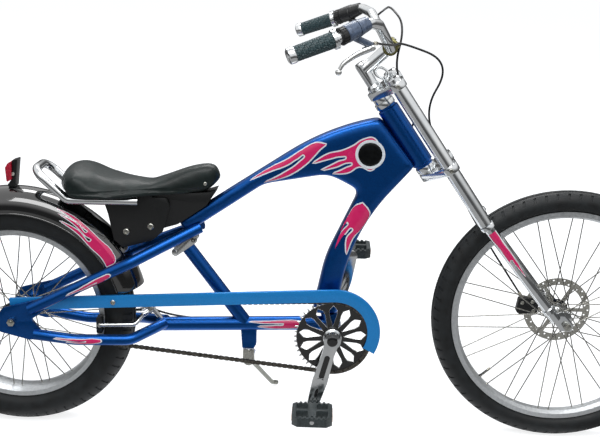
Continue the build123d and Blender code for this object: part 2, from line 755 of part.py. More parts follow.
stem_at = crown_at + stem_rise
with BuildPart() as stem:
    add(turned(on_fork(0, 0, crown_at + crown_thick / 2), on_fork(0, 0, stem_at),
               [(0, 17), (8, 17), (14, 13), (stem_rise + 2, 13), (stem_rise + 8, 11)]))
    add(bar(on_fork(0, 0, stem_at - 2), bar_at, stem_r))
    add(bar(bar_at - Vector(0, 22, 0), bar_at + Vector(0, 22, 0), bar_r + 6))
    add(handlebar.part, mode=Mode.SUBTRACT)
pieces["stem"] = stem

# Grips: rubber sleeves between chrome collars and end caps, with the lever clamps inboard
grip_r = 17.0
with BuildPart() as grips:
    for hand in (-1, 1):
        inner, outer = [Vector(p.X, hand * abs(p.Y), p.Z) for p in bar_bends[-2:]]
        run = (outer - inner).length
        add(turned(inner, outer, [(12, grip_r), (run - 10, grip_r - 1.5)]))
    add(handlebar.part, mode=Mode.SUBTRACT)
pieces["grips"] = grips

with BuildPart() as grip_collars:
    for hand in (-1, 1):
        inner, outer = [Vector(p.X, hand * abs(p.Y), p.Z) for p in bar_bends[-2:]]
        run = (outer - inner).length
        add(turned(inner, outer, [(1, 15), (2, 20), (5, 20), (5, 18), (7, 18), (7, 20), (11, 20), (12, 17)]))
        add(turned(inner, outer, [(run - 10, 16), (run - 8, 17), (run + 3, 16.5), (run + 6, 12)]))
    add(handlebar.part, mode=Mode.SUBTRACT)
pieces["grip_collars"] = grip_collars

with BuildPart() as lever_clamps:
    for hand in (-1, 1):
        near, far = [Vector(p.X, hand * abs(p.Y), p.Z) for p in bar_bends[-3:-1]]
        add(turned(near, far, [(30, 16), (32, 18), (58, 18), (60, 16)]))
        way = (far - near).normalized()
        add(bar(near + way * 40 + Vector(0, 0, -12), near + Vector(6, 0, -44), 7))
    add(handlebar.part, mode=Mode.SUBTRACT)
pieces["lever_clamps"] = lever_clamps

with BuildPart() as brake_levers:
    for hand in (-1, 1):
        pivot = Vector(bar_bends[-3].X, hand * abs(bar_bends[-3].Y), bar_bends[-3].Z)
        blade = [pivot + Vector(10, hand * 4, -48), pivot + Vector(-18, hand * 12, -60),
                 pivot + Vector(-50, hand * 24, -78), pivot + Vector(-58, hand * 26, -98)]
        add(bent_bar(blade, 4.5, [18, 10]))
        add(turned(blade[-2], blade[-1], [(13, 4), (16, 6.5), (22, 6.5), (25, 4)]))
        add(bar(blade[0] - Vector(0, 8, 0), blade[0] + Vector(0, 8, 0), 6))
    add(lever_clamps.part, mode=Mode.SUBTRACT)
pieces["brake_levers"] = brake_levers

# Front brake: the caliper straddles the disc behind the left leg, on two posts
caliper_at = front_axle + Vector(-disc_r + 8, 0, 8)
leg_axis = on_fork(axle_out - 14, leg_y, axle_s + 40)
with BuildPart() as front_caliper:
    add(plate(around(caliper_at, (-27, -14), (-16, -22), (24, -20), (26, 12), (12, 22), (-22, 20)),
              disc_y - caliper_half, 2 * caliper_half, 5))
    for rise in (-9, 13):
        add(bar(caliper_at + Vector(14, disc_y + 4, rise), leg_axis + Vector(rise / 3, 0, rise), 4.5))
    with BuildSketch(side(disc_y + disc_slot / 2)):
        with Locations((front_axle.X, front_axle.Z)):
            Circle(disc_r + 2)
    extrude(amount=disc_slot, mode=Mode.SUBTRACT)
    add(fork_legs.part, mode=Mode.SUBTRACT)
pieces["front_caliper"] = front_caliper

# Rear brake: two bright arms past the tyre, from a bolt on the lower tube, with rim pads
arm_y = rear_tyre_half + tyre_gap + brake_arm_r
pad_at = rear_axle + Vector(rear_rim_r - rim_hook, 0, -12)
nose = rear_axle + Vector(rear_tyre_r + tyre_gap + 12, 0, 6)
with BuildPart() as rear_brake:
    for hand in (-1, 1):
        add(bent_bar([nose + Vector(22, 0, 4), nose + Vector(4, hand * 30, 2),
                      nose + Vector(-10, hand * arm_y, -14), pad_at + Vector(0, hand * arm_y, 0)],
                     brake_arm_r, [14, 14]))
    add(bar(nose + Vector(22, 0, 12), tube_rear + Vector(14, 0, 8), 6))
    add(lower_tube.part, mode=Mode.SUBTRACT)
    for hand in ("right", "left"):
        add(pieces["lower_stay_" + hand].part, mode=Mode.SUBTRACT)
pieces["rear_brake"] = rear_brake
with BuildPart() as brake_pads:
    for low in (-arm_y - 2, rear_rim_half + pad_gap):
        add(plate(around(pad_at, (-8, -20), (6, -20), (6, 20), (-8, 20)),
                  low, arm_y + 2 - rear_rim_half - pad_gap, 3))
    add(rear_brake.part, mode=Mode.SUBTRACT)
pieces["brake_pads"] = brake_pads

# Brake cables: the front one from the right lever round ahead of the fork to the caliper, the
# rear one from the left lever through the upper crown, then along the frame's left side
cable_out = crown_web + 2 * cable_r
front_route = [Vector(bar_bends[-3].X + 14, bar_bends[-3].Y + 4, bar_bends[-3].Z - 40),
               bar_bends[1] + Vector(22, 14, -22), on_fork(101, -30, crown_at + 74),
               on_fork(175, -22, crown_at - 30), on_fork(cable_out, -13, 22),
               on_fork(cable_out, -13, low_crown_at - 30), on_fork(30, leg_y - 19, low_crown_at - 110),
               on_fork(24, leg_y - 18, kink_s - 60), caliper_at + Vector(-14, disc_y + 3, 21)]
with BuildPart() as front_cable:
    add(bent_bar(front_route, cable_r, [30, 60, 60, 40, 25, 25, 60]))
    add(front_caliper.part, mode=Mode.SUBTRACT)
    add(lever_clamps.part, mode=Mode.SUBTRACT)
    add(brake_levers.part, mode=Mode.SUBTRACT)
pieces["front_cable"] = front_cable

left_bend = Vector(bar_bends[-3].X, -bar_bends[-3].Y, bar_bends[-3].Z)
bars_route = [left_bend + Vector(14, -4, -40), left_bend + Vector(54, -70, 6),
              left_bend + Vector(62, -160, 14), on_fork(cable_out + 78, 12, crown_at + 92),
              on_fork(cable_out, 13, crown_at + 20), on_fork(cable_out, 13, 40)]
with BuildPart() as bars_cable:
    add(bent_bar(bars_route, cable_r, [30, 40, 25, 60]))
    add(lever_clamps.part, mode=Mode.SUBTRACT)
    add(brake_levers.part, mode=Mode.SUBTRACT)
pieces["bars_cable"] = bars_cable

tube_side = lower_tube_r + cable_r + seat_gap
frame_route = [on_fork(34, 22, 10), on_fork(-14, body_half + 6, -20),
               bracket + Vector(60, body_half + cable_r + seat_gap, 330),
               bracket + Vector(14, body_half + cable_r + seat_gap, 150),
               bracket + Vector(-40, body_half, 28),
               bracket + Vector(-110, tube_side, 9), tube_rear + Vector(46, tube_side, 6),
               nose + Vector(27, 8, 4)]
with BuildPart() as frame_cable:
    add(bent_bar(frame_route, cable_r, [18, 60, 100, 30, 30, 30]))
    for name in ("frame_body", "lower_tube", "rear_brake", "seat_strut", "lower_stay_left"):
        add(pieces[name].part, mode=Mode.SUBTRACT)
pieces["frame_cable"] = frame_cable

# Crank: spindle, chainring with its long slots, and two arms, each hollowed on its face
swing = Vector(-sin(radians(crank_angle)), 0, -cos(radians(crank_angle)))
root_r = ring_pitch_r - 3.6
with BuildPart() as chainring:
    add(toothed((bracket.X, bracket.Z), ring_teeth, ring_pitch_r, ring_thick))
    with BuildSketch(side(chain_y + ring_thick)) as slots:
        with Locations((bracket.X, bracket.Z)):
            with PolarLocations(0, petals, start_angle=-90 - crank_angle):
                Polygon((0.33 * root_r, 0), (0.68 * root_r, -9), (0.8 * root_r, -9.5),
                        (0.93 * root_r, 0), (0.8 * root_r, 9.5), (0.68 * root_r, 9), align=None)
            Circle(spindle_r)
    extrude(amount=2 * ring_thick, mode=Mode.SUBTRACT)
pieces["chainring"] = chainring

# The arm's half widths along its length, as shares of the crank length
arm_widths = [(0, 17), (0.2, 14.5), (0.62, 18), (0.88, 15), (1, 13)]
with BuildPart() as cranks:
    add(bar(bracket - Vector(0, crank_in + crank_thick, 0), bracket + Vector(0, crank_in + 10, 0),
            spindle_r))
    for hand in (-1, 1):
        eye = bracket + swing * crank_length * (-hand)
        face = Plane(origin=bracket + Vector(0, hand * crank_in, 0),
                     x_dir=(eye - bracket).normalized(), z_dir=(0, hand, 0))
        with BuildSketch(face):
            with BuildLine():
                upper = [(crank_length * share, half) for share, half in arm_widths]
                Polyline(*upper, *[(x, -y) for x, y in reversed(upper)], close=True)
            make_face()
            Circle(20)
            with Locations((crank_length, 0)):
                Circle(14)
        extrude(amount=crank_thick)
        with BuildSketch(face.offset(crank_thick)):
            with Locations((0.4 * crank_length, 0)):
                SlotOverall(0.36 * crank_length, 13)
        extrude(amount=-4, mode=Mode.SUBTRACT)
        add(bar(eye + Vector(0, hand * (crank_in + crank_thick), 0),
                eye + Vector(0, hand * (crank_in + crank_thick + pedal_length + 6), 0), axle_r))
    add(chainring.part, mode=Mode.SUBTRACT)
pieces["cranks"] = cranks

# Pedals: a cage with two windows on each side of the spindle barrel
pedal_plan = [(-0.5, -0.36), (-0.36, -0.5), (0.36, -0.5), (0.5, -0.36), (0.5, 0.36), (0.36, 0.5),
              (-0.36, 0.5), (-0.5, 0.36)]
pedal_in = crank_in + crank_thick + 5
for name, hand in (("pedal_right", -1), ("pedal_left", 1)):
    eye = bracket + swing * crank_length * (-hand)
    middle = eye + Vector(0, hand * (pedal_in + pedal_length / 2), -pedal_height / 2)
    with BuildPart() as pedal:
        with BuildSketch(Plane.XY.offset(middle.Z)):
            with Locations((middle.X, middle.Y)):
                Polygon(*[(x * pedal_width, y * pedal_length) for x, y in pedal_plan], align=None)
                with GridLocations(pedal_width / 2, pedal_length / 2 - 4, 2, 2):
                    RectangleRounded(pedal_width / 2 - 20, pedal_length / 2 - 14, 4,
                                     mode=Mode.SUBTRACT)
        extrude(amount=pedal_height)
        add(bar(middle + Vector(0, -pedal_length / 2, pedal_height / 2),
                middle + Vector(0, pedal_length / 2, pedal_height / 2), 11))
        with BuildSketch(Plane.XY.offset(middle.Z + pedal_height)):
            with Locations((middle.X, middle.Y)):
                with GridLocations(11, pedal_length - 6, 7, 2):
                    Rectangle(5, 16)
        extrude(amount=-3, mode=Mode.SUBTRACT)
        add(bar(eye, eye + Vector(0, hand * 2 * pedal_length + hand * pedal_in, 0),
                axle_r + running_fit), mode=Mode.SUBTRACT)
    pieces[name] = pedal

# The lean onto the stand, about the line on which the tyres touch the floor
roll_drop = rear_tyre_half * (1 - cos(radians(lean_angle)))
parked = Location((-middle_x, -middle_y, roll_drop), (-lean_angle, 0, 0))

os.makedirs("parts", exist_ok=True)
for name, piece in pieces.items():
    leant = piece.part.moved(parked)
    leant.label = name
    export_step(leant, "parts/" + name + ".step")
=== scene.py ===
import bpy
import json
import math
from mathutils import Matrix, Vector

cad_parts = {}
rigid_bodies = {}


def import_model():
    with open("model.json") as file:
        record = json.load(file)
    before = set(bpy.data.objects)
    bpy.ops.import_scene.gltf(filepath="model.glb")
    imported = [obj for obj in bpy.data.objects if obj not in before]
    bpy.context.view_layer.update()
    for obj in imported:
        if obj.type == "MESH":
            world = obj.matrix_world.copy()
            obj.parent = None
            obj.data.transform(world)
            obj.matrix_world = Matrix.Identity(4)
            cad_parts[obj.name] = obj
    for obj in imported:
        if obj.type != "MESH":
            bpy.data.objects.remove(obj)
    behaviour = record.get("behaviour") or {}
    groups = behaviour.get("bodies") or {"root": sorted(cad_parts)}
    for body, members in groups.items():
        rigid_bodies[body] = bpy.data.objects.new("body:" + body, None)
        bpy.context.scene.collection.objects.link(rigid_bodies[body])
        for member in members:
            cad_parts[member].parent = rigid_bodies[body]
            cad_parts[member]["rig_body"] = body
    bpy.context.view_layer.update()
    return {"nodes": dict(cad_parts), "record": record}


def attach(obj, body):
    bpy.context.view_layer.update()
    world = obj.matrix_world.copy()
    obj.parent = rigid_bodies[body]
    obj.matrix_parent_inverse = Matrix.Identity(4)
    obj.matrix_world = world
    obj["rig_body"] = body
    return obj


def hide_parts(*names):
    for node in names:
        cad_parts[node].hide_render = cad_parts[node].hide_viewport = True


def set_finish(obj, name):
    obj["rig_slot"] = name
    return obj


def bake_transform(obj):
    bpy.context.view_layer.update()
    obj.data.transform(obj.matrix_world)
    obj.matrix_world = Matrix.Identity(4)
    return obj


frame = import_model()
bpy.ops.object.select_all(action="DESELECT")

# Camera: a standing photographer to the bicycle's right, looking down a little. The lens and
# the place come from the photograph's own perspective.
def linked(name, data):
    """A new object in the scene."""
    made = bpy.data.objects.new(name, data)
    bpy.context.scene.collection.objects.link(made)
    return made


camera_data = bpy.data.cameras.new("camera")
camera_data.lens = 59.02
camera_data.sensor_width = 36.0
camera = linked("camera", camera_data)
look_right = Vector((0.99934805, 0.03195282, 0.01680729))
look_up = Vector((-0.02819585, 0.39997984, 0.91609013))
look_back = Vector((0.02254909, -0.91596678, 0.40062001))
axes = Matrix((look_right, look_up, look_back)).transposed().to_4x4()
camera.matrix_world = Matrix.Translation((0.06716592, -2.1688481, 1.44955463)) @ axes
bpy.context.scene.camera = camera
bpy.context.scene.view_settings.view_transform = "Standard"


def rgb(code):
    """An sRGB hex colour as the linear values that a shader's socket takes."""
    parts = [int(code[i:i + 2], 16) / 255 for i in (1, 3, 5)]
    return (*[p / 12.92 if p <= 0.04045 else ((p + 0.055) / 1.055) ** 2.4 for p in parts], 1.0)


def add_node(tree, kind, links=None, **settings):
    """A shader node with its settings and the sockets linked or set into it."""
    node = tree.nodes.new(kind)
    for name, value in settings.items():
        setattr(node, name, value)
    for socket, source in (links or {}).items():
        if isinstance(source, bpy.types.NodeSocket):
            tree.links.new(source, node.inputs[socket])
        else:
            node.inputs[socket].default_value = source
    return node


# Floor: a pale matt board, wide enough that its edge is never seen. The camera, and what
# gloss mirrors, see it as plain white with the bicycle's soft shadow on it.
def primitive(kind, location=(0, 0, 0), **settings):
    """A new mesh primitive, the only piece selected."""
    bpy.ops.object.select_all(action="DESELECT")
    getattr(bpy.ops.mesh, f"primitive_{kind}_add")(location=location, **settings)
    return bpy.context.object


floor_size = 40.0
floor_glow = 0.8


def seen_white(tree):
    """1 for rays from the camera, through glass or off gloss, and 0 for all others."""
    ray = add_node(tree, "ShaderNodeLightPath").outputs
    share = ray["Is Camera Ray"]
    for kind in ("Is Transmission Ray", "Is Glossy Ray"):
        either = add_node(tree, "ShaderNodeMath", {0: share, 1: ray[kind]}, operation="MAXIMUM")
        share = either.outputs[0]
    return share


floor = primitive("plane", size=floor_size)
floor.name = "floor"
board = bpy.data.materials.new("matt white floor board")
board.use_nodes = True
tree = board.node_tree
shader = tree.nodes["Principled BSDF"]
shader.inputs["Base Color"].default_value = rgb("#B4B6B8")
shader.inputs["Roughness"].default_value = 1.0
shader.inputs["Specular IOR Level"].default_value = 0.0
lift = add_node(tree, "ShaderNodeMath", {0: seen_white(tree), 1: floor_glow}, operation="MULTIPLY")
shader.inputs["Emission Color"].default_value = rgb("#FFFFFF")
tree.links.new(lift.outputs[0], shader.inputs["Emission Strength"])
floor.data.materials.append(board)

# Studio light: a white room, a large soft lamp over the right side and a weaker one behind
world = bpy.data.worlds.new("white studio")
bpy.context.scene.world = world
world.use_nodes = True
tree = world.node_tree
room = add_node(tree, "ShaderNodeBackground", {"Color": rgb("#EEF3FA"), "Strength": 0.45})
bright = add_node(tree, "ShaderNodeBackground", {"Color": rgb("#FFFFFF"), "Strength": 1.0})
mix = add_node(tree, "ShaderNodeMixShader", {0: seen_white(tree), 1: room.outputs[0],
                                             2: bright.outputs[0]})
tree.links.new(mix.outputs[0], tree.nodes["World Output"].inputs["Surface"])


def add_lamp(name, place, aim, size, power):
    """A soft lamp at a place, aimed at a point, its size along and across."""
    data = bpy.data.lights.new(name, "AREA")
    data.shape = "RECTANGLE"
    data.size, data.size_y = size
    data.energy = power
    lamp = linked(name, data)
    lamp.location = place
    lamp.rotation_euler = (Vector(aim) - Vector(place)).to_track_quat("-Z", "Y").to_euler()


add_lamp("key lamp", (-0.2, -1.5, 3.2), (0, 0, 0.4), (2.6, 1.6), 62)
add_lamp("top back lamp", (0.1, 1.3, 2.5), (0, 0, 0.5), (2.6, 0.7), 42)

# Studio walls: a dark band round the set, seen only in gloss and chrome, where it draws the
# dark line that a bright tube shows between the white room above and the white floor below
wall_radius, wall_height, wall_dark = 2.7, 1.8, 0.75


def gloss_glow(piece, name):
    """Lets gloss alone see a stage piece, which glows white. Gives its tree and the strength."""
    piece.visible_camera = piece.visible_diffuse = False
    piece.visible_shadow = piece.visible_transmission = False
    made = bpy.data.materials.new(name)
    made.use_nodes = True
    made.node_tree.nodes.clear()
    glow = add_node(made.node_tree, "ShaderNodeEmission", {"Color": rgb("#FFFFFF")})
    surface = add_node(made.node_tree, "ShaderNodeOutputMaterial").inputs["Surface"]
    made.node_tree.links.new(glow.outputs[0], surface)
    piece.data.materials.append(made)
    return made.node_tree, glow.inputs["Strength"]


wall = primitive("cylinder", (0, 0, wall_height / 2), vertices=96, radius=wall_radius,
                 depth=wall_height, end_fill_type="NOTHING")
wall.name = "dark_wall"
tree, strength = gloss_glow(wall, "dark studio felt")
height = add_node(tree, "ShaderNodeSeparateXYZ",
                  {0: add_node(tree, "ShaderNodeTexCoord").outputs["Object"]}).outputs["Z"]
fade = add_node(tree, "ShaderNodeMapRange", {"Value": height, "From Min": wall_dark - wall_height / 2,
                                             "From Max": wall_height / 2, "To Min": 0.1, "To Max": 1.0},
                interpolation_type="SMOOTHSTEP")
tree.links.new(fade.outputs[0], strength)

# Studio mat: a grey sheet on the floor round the bicycle, seen only in gloss and chrome, so
# that upright faces mirror it and stay deeper in colour than the faces turned to the lamps.
# It is a ring with a long hole, a little above the floor.
mat_lift, mat_hole, mat_glow = 0.002, (0.3, 0.13, 1), 0.42
mat = primitive("circle", (0, 0, mat_lift), vertices=96, radius=wall_radius, fill_type="NOTHING")
mat.name = "grey_mat"
bpy.ops.object.mode_set(mode="EDIT")
bpy.ops.mesh.select_all(action="SELECT")
bpy.ops.mesh.extrude_edges_move()
bpy.ops.transform.resize(value=mat_hole, center_override=(0, 0, mat_lift))
bpy.ops.object.mode_set(mode="OBJECT")
mat.select_set(False)
tree, strength = gloss_glow(mat, "grey studio mat")
strength.default_value = mat_glow

# How the bicycle stands: its pieces are drawn upright in millimetres, the rear tyre on the
# origin, then leant 8 degrees onto the stand and brought over the floor's middle.
lean = math.radians(8)
hands = ((-1, "right"), (1, "left"))
parked = (Matrix.Translation((-0.657, -0.131, 0.04 * (1 - math.cos(lean))))
          @ Matrix.Rotation(-lean, 4, "X") @ Matrix.Scale(0.001, 4))
upright = parked.inverted()
rear_axle = Vector((0, 0, 280))
front_axle = Vector((1299.5, 0, 308))
bracket = Vector((756, 0, 256))
steer_base = Vector((908.5, 0, 735))
head = math.radians(55.3)
wheel_turn = Matrix.Rotation(math.radians(90), 4, "X")


def on_fork(out, y, s):
    """A point given by its offset ahead of the steering axis, Y and height along it."""
    return steer_base + Vector((math.sin(head) * out - math.cos(head) * s, y,
                                math.cos(head) * out + math.sin(head) * s))


def new_material(name, colour, metallic, roughness, **sockets):
    """A material with its shader's plain values, and the tree that its pattern is added to."""
    made = bpy.data.materials.new(name)
    made.use_nodes = True
    shader = made.node_tree.nodes["Principled BSDF"]
    shader.inputs["Base Color"].default_value = rgb(colour)
    shader.inputs["Metallic"].default_value = metallic
    shader.inputs["Roughness"].default_value = roughness
    for socket, value in sockets.items():
        shader.inputs[socket.replace("_", " ")].default_value = value
    return made, made.node_tree, shader


def emboss(tree, shader, height, distance, socket="Normal", strength=1.0):
    """Raises a surface by a pattern's height, as far as a distance in metres."""
    bump = add_node(tree, "ShaderNodeBump", {"Height": height, "Distance": distance,
                                             "Strength": strength})
    tree.links.new(bump.outputs[0], shader.inputs[socket])


def mottle(tree, shader, size, colours, gloss, relief=0.0, detail=3.0):
    """Spots of a size in metres that vary the colour and roughness, and raise the surface."""
    spot = add_node(tree, "ShaderNodeTexCoord").outputs["Object"]
    noise = add_node(tree, "ShaderNodeTexNoise", {"Vector": spot, "Scale": 1 / size, "Detail": detail})
    share = add_node(tree, "ShaderNodeMapRange", {"Value": noise.outputs["Fac"], "From Min": 0.3,
                                                  "From Max": 0.7}).outputs[0]
    shade = add_node(tree, "ShaderNodeMix", {0: share, 6: rgb(colours[0]), 7: rgb(colours[1])},
                     data_type="RGBA")
    tree.links.new(shade.outputs[2], shader.inputs["Base Color"])
    rough = add_node(tree, "ShaderNodeMapRange", {"Value": share, "To Min": gloss[0],
                                                  "To Max": gloss[1]})
    tree.links.new(rough.outputs[0], shader.inputs["Roughness"])
    if relief:
        emboss(tree, shader, noise.outputs["Fac"], relief)
    return spot


def mottled(name, colour, metallic, roughness, size, colours, gloss, relief=0.0, **sockets):
    """A material that needs no more than its spots."""
    made, tree, shader = new_material(name, colour, metallic, roughness, **sockets)
    mottle(tree, shader, size, colours, gloss, relief)
    return made


def choose(piece):
    """Makes a piece the active one and the only one selected."""
    bpy.ops.object.select_all(action="DESELECT")
    bpy.context.view_layer.objects.active = piece
    piece.select_set(True)


def pick(piece, test=lambda m, n, i: True):
    """Opens a piece for editing, the faces selected whose middle, normal and index pass a test."""
    choose(piece)
    bpy.ops.object.mode_set(mode="EDIT")
    bpy.ops.mesh.select_mode(type="FACE")
    bpy.ops.mesh.select_all(action="DESELECT")
    bpy.ops.object.mode_set(mode="OBJECT")
    for face in piece.data.polygons:
        face.select = test(face.center, face.normal, face.index)
    bpy.ops.object.mode_set(mode="EDIT")


def shut():
    """Ends the editing, with nothing left selected."""
    bpy.ops.object.mode_set(mode="OBJECT")
    bpy.ops.object.select_all(action="DESELECT")


def modify(piece, name, kind, **settings):
    """Adds a modifier with its settings, and applies it."""
    change = piece.modifiers.new(name, kind)
    for setting, value in settings.items():
        setattr(change, setting, value)
    bpy.context.view_layer.objects.active = piece
    bpy.ops.object.modifier_apply(modifier=change.name)


def two_tone(piece, material, test):
    """Gives a second material to the faces whose middle and normal, drawn upright, pass a test."""
    piece.data.materials.append(material)
    for face in piece.data.polygons:
        normal = (upright.to_3x3() @ face.normal).normalized()
        face.material_index = 1 if test(upright @ face.center, normal) else 0


def coat(piece, slot, material, crease=35):
    """Smooths a piece up to its creases, and gives it its material and slot."""
    choose(piece)
    bpy.ops.object.shade_smooth_by_angle(angle=math.radians(crease))
    piece.select_set(False)
    piece.data.materials.clear()
    piece.data.materials.append(material)
    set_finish(piece, slot)


def dress(piece, body, slot, material, crease=35):
    """Coats a piece and fixes it to its body."""
    coat(piece, slot, material, crease)
    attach(piece, body)
    return piece


def finished(node, material, crease=35, bevel=0.0, segments=2):
    """A merged copy of a CAD node, its edges rounded, that stands for the node."""
    piece = linked(node + "_skin", frame["nodes"][node].data.copy())
    pick(piece)
    bpy.ops.mesh.remove_doubles(threshold=0.000002)
    bpy.ops.mesh.customdata_custom_splitnormals_clear()
    bpy.ops.mesh.tris_convert_to_quads()
    shut()
    if bevel:
        modify(piece, "edge rounding", "BEVEL", width=bevel, segments=segments, limit_method="ANGLE",
               angle_limit=math.radians(crease))
    slot = next(p["material_slot"] for p in frame["record"]["subparts"] if p["node"] == node)
    dress(piece, frame["nodes"][node]["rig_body"], slot, material, crease)
    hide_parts(node)
    return piece


def leant(piece, name):
    """Leans a new piece, drawn upright in millimetres, with the bicycle, and names it."""
    bpy.context.view_layer.update()
    piece.data.transform(parked @ piece.matrix_world)
    piece.matrix_world = Matrix.Identity(4)
    piece.name = name


def placed(piece, name, body, slot, material, crease=35):
    """A new piece, leant with the bicycle, its faces turned outward, and fixed to a body."""
    leant(piece, name)
    pick(piece)
    bpy.ops.mesh.normals_make_consistent(inside=False)
    shut()
    return dress(piece, body, slot, material, crease)


def joined(parts):
    """Several objects as one, which the first of them becomes."""
    choose(parts[0])
    for part in parts[1:]:
        part.select_set(True)
    if len(parts) > 1:
        bpy.ops.object.join()
    parts[0].select_set(False)
    return parts[0]


def facing(place, way):
    """The move that takes a piece drawn along Z from the origin to a place and a direction."""
    return Matrix.Translation(place) @ way.to_track_quat("Z", "Y").to_matrix().to_4x4()


def raise_face(rise, level, along, across):
    """Extrudes the picked face along Z, and scales it at the level that it gets to."""
    bpy.ops.mesh.extrude_region_move(TRANSFORM_OT_translate={"value": (0, 0, rise)})
    bpy.ops.transform.resize(value=(along, across, 1), center_override=(0, 0, level))


def lathe(start, end, profile, sides=24):
    """A turned piece on the line from start to end, its profile in (distance, radius)."""
    start, way = Vector(start), Vector(end) - Vector(start)
    piece = primitive("circle", vertices=sides, radius=profile[0][1], fill_type="NGON")
    pick(piece)
    level = 0.0
    for (low, narrow), (high, wide) in zip(profile, profile[1:]):
        level += high - low
        raise_face(high - low, level, wide / narrow, wide / narrow)
    shut()
    piece.matrix_world = facing(start + way.normalized() * profile[0][0], way)
    bpy.context.view_layer.update()
    return piece


def bolt(place, way, radius, height):
    """A bolt's head with a chamfered rim and a round recess."""
    place, way = Vector(place), Vector(way).normalized()
    return lathe(place, place + way, [(0, radius), (0.75 * height, radius), (height, 0.82 * radius),
                                      (height + 0.01, 0.5 * radius), (0.4 * height, 0.48 * radius)], 18)


def meshed(name, curve):
    """A curve as a mesh object."""
    choose(linked(name, curve))
    bpy.ops.object.convert(target="MESH")
    return bpy.context.object


def tube(name, route, radius, rings, steps, swells=None):
    """A round tube on a smooth line through a route, swelling by a share at each of its points."""
    curve = bpy.data.curves.new(name, "CURVE")
    curve.dimensions = "3D"
    curve.bevel_depth = radius
    curve.bevel_resolution = rings
    curve.resolution_u = steps
    curve.use_fill_caps = True
    spline = curve.splines.new("NURBS")
    spline.points.add(len(route) - 1)
    for point, place, swell in zip(spline.points, route, swells or [1.0] * len(route)):
        point.co = (*place, 1.0)
        point.radius = swell
    spline.order_u = 3
    spline.use_endpoint_u = True
    return meshed(name, curve)


# Tyres: black moulded rubber, fat behind and slimmer in front, almost smooth, with short
# slanting cuts in the shoulders and two fine grooves round the crown.
# Columns: axle, bed radius, crown radius, half width, rim's inner half width, segments, body
rubber = mottled("moulded tyre rubber", "#15181A", 0.0, 0.6, 0.02, ("#0E1011", "#1C2022"), (0.5, 0.68),
                 0.0004, Specular_IOR_Level=0.4)
tyre_table = {
    "rear": (rear_axle, 211.0, 280.0, 40.0, 29.0, 200, "rear_wheel"),
    "front": (front_axle, 261.0, 308.0, 27.0, 14.0, 216, "front_wheel"),
}
tyre_sides, tread_slant = 36, 2.2
for end, (axle, rim_r, crown_r, half, seat_half, steps, body) in tyre_table.items():
    belly_r = rim_r + 0.45 * (crown_r - rim_r)
    deep = crown_r - belly_r
    tyre = primitive("torus", major_radius=belly_r, minor_radius=deep, major_segments=steps,
                     minor_segments=tyre_sides)
    # The flanks stand on the rim's bed, and the tread's cuts slant back towards the shoulders
    for point in tyre.data.vertices:
        across = point.co.z * half / deep
        reach = math.hypot(point.co.x, point.co.y)
        turn = math.atan2(point.co.y, point.co.x) + abs(across) / half * tread_slant * math.pi / steps
        if reach < rim_r + 3 and abs(across) > 0.4 * seat_half:
            across = math.copysign(seat_half, across)
        point.co = (reach * math.cos(turn), reach * math.sin(turn), across)
    pick(tyre, lambda m, n, i: i // tyre_sides % 3 == 0 and 0.5 * half < abs(m.z) < 0.92 * half
         and math.hypot(*m.xy) > belly_r + 3)
    bpy.ops.mesh.inset(thickness=1.4, depth=0)
    bpy.ops.mesh.inset(thickness=0.5, depth=-2.0)
    shut()
    pick(tyre, lambda m, n, i: 0.16 * half < abs(m.z) < 0.26 * half and math.hypot(*m.xy) > belly_r)
    bpy.ops.mesh.inset(thickness=0.8, depth=0)
    bpy.ops.mesh.inset(thickness=0.4, depth=-1.6)
    shut()
    tyre.matrix_world = Matrix.Translation(axle) @ wheel_turn
    placed(tyre, end + "_tyre_tread", body, "tyre_rubber", rubber, 40)
    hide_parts(end + "_tyre")

# Rims: extruded aluminium with a satin silver skin
rim_alloy = mottled("satin silver rim alloy", "#D3D6D8", 0.9, 0.36, 0.006, ("#C9CDD0", "#DADDDF"),
                    (0.3, 0.42))
for end in ("rear", "front"):
    finished(end + "_rim", rim_alloy, 30)

# Spokes: bright drawn wire, thirty-six to a wheel, held at the rim by brass nipples.
# Columns: axle, flange radius, flange Y on the right and left, spoke's end radius
spoke_steel = mottled("drawn bright spoke wire", "#8F8E89", 1.0, 0.3, 0.004, ("#82817C", "#A09F9A"),
                      (0.2, 0.34))
brass = mottled("nickel plated brass", "#CFC9BA", 1.0, 0.25, 0.003, ("#BDB6A5", "#DAD6CA"), (0.2, 0.34))
spoke_table = {
    "rear": (rear_axle, 25.0, -30.0, 30.0, 193.7, "rear_wheel"),
    "front": (front_axle, 21.0, -30.0, 26.0, 243.7, "front_wheel"),
}
for end, (axle, flange_r, right_y, left_y, reach, body) in spoke_table.items():
    spokes = finished(end + "_spokes", spoke_steel, 60)
    pick(spokes)
    bpy.ops.transform.shrink_fatten(value=0.0003)
    shut()
    nipple = lathe((0, 0, 0), (0, 0, 1), [(-13, 1.5), (-12, 1.9), (-3, 1.9), (-2, 3.0), (0, 3.0)], 8)
    nipples = []
    for number, (flange_y, face, way) in enumerate(((right_y, -1, 1), (right_y, 1, -1),
                                                    (left_y, 1, 1), (left_y, -1, -1))):
        for turn in range(9):
            at_hub = 2 * math.pi / 9 * (turn + number / 4)
            at_rim = at_hub + way * math.radians(62)
            start = axle + Vector((flange_r * math.cos(at_hub), flange_y + face * 2.2,
                                   flange_r * math.sin(at_hub)))
            stop = axle + Vector((reach * math.cos(at_rim), math.copysign(5, flange_y),
                                  reach * math.sin(at_rim)))
            copy = linked("nipple", nipple.data.copy())
            copy.matrix_world = facing(stop, stop - start)
            nipples.append(copy)
    bpy.data.objects.remove(nipple)
    placed(joined(nipples), end + "_nipples", body, "spoke_steel", brass)

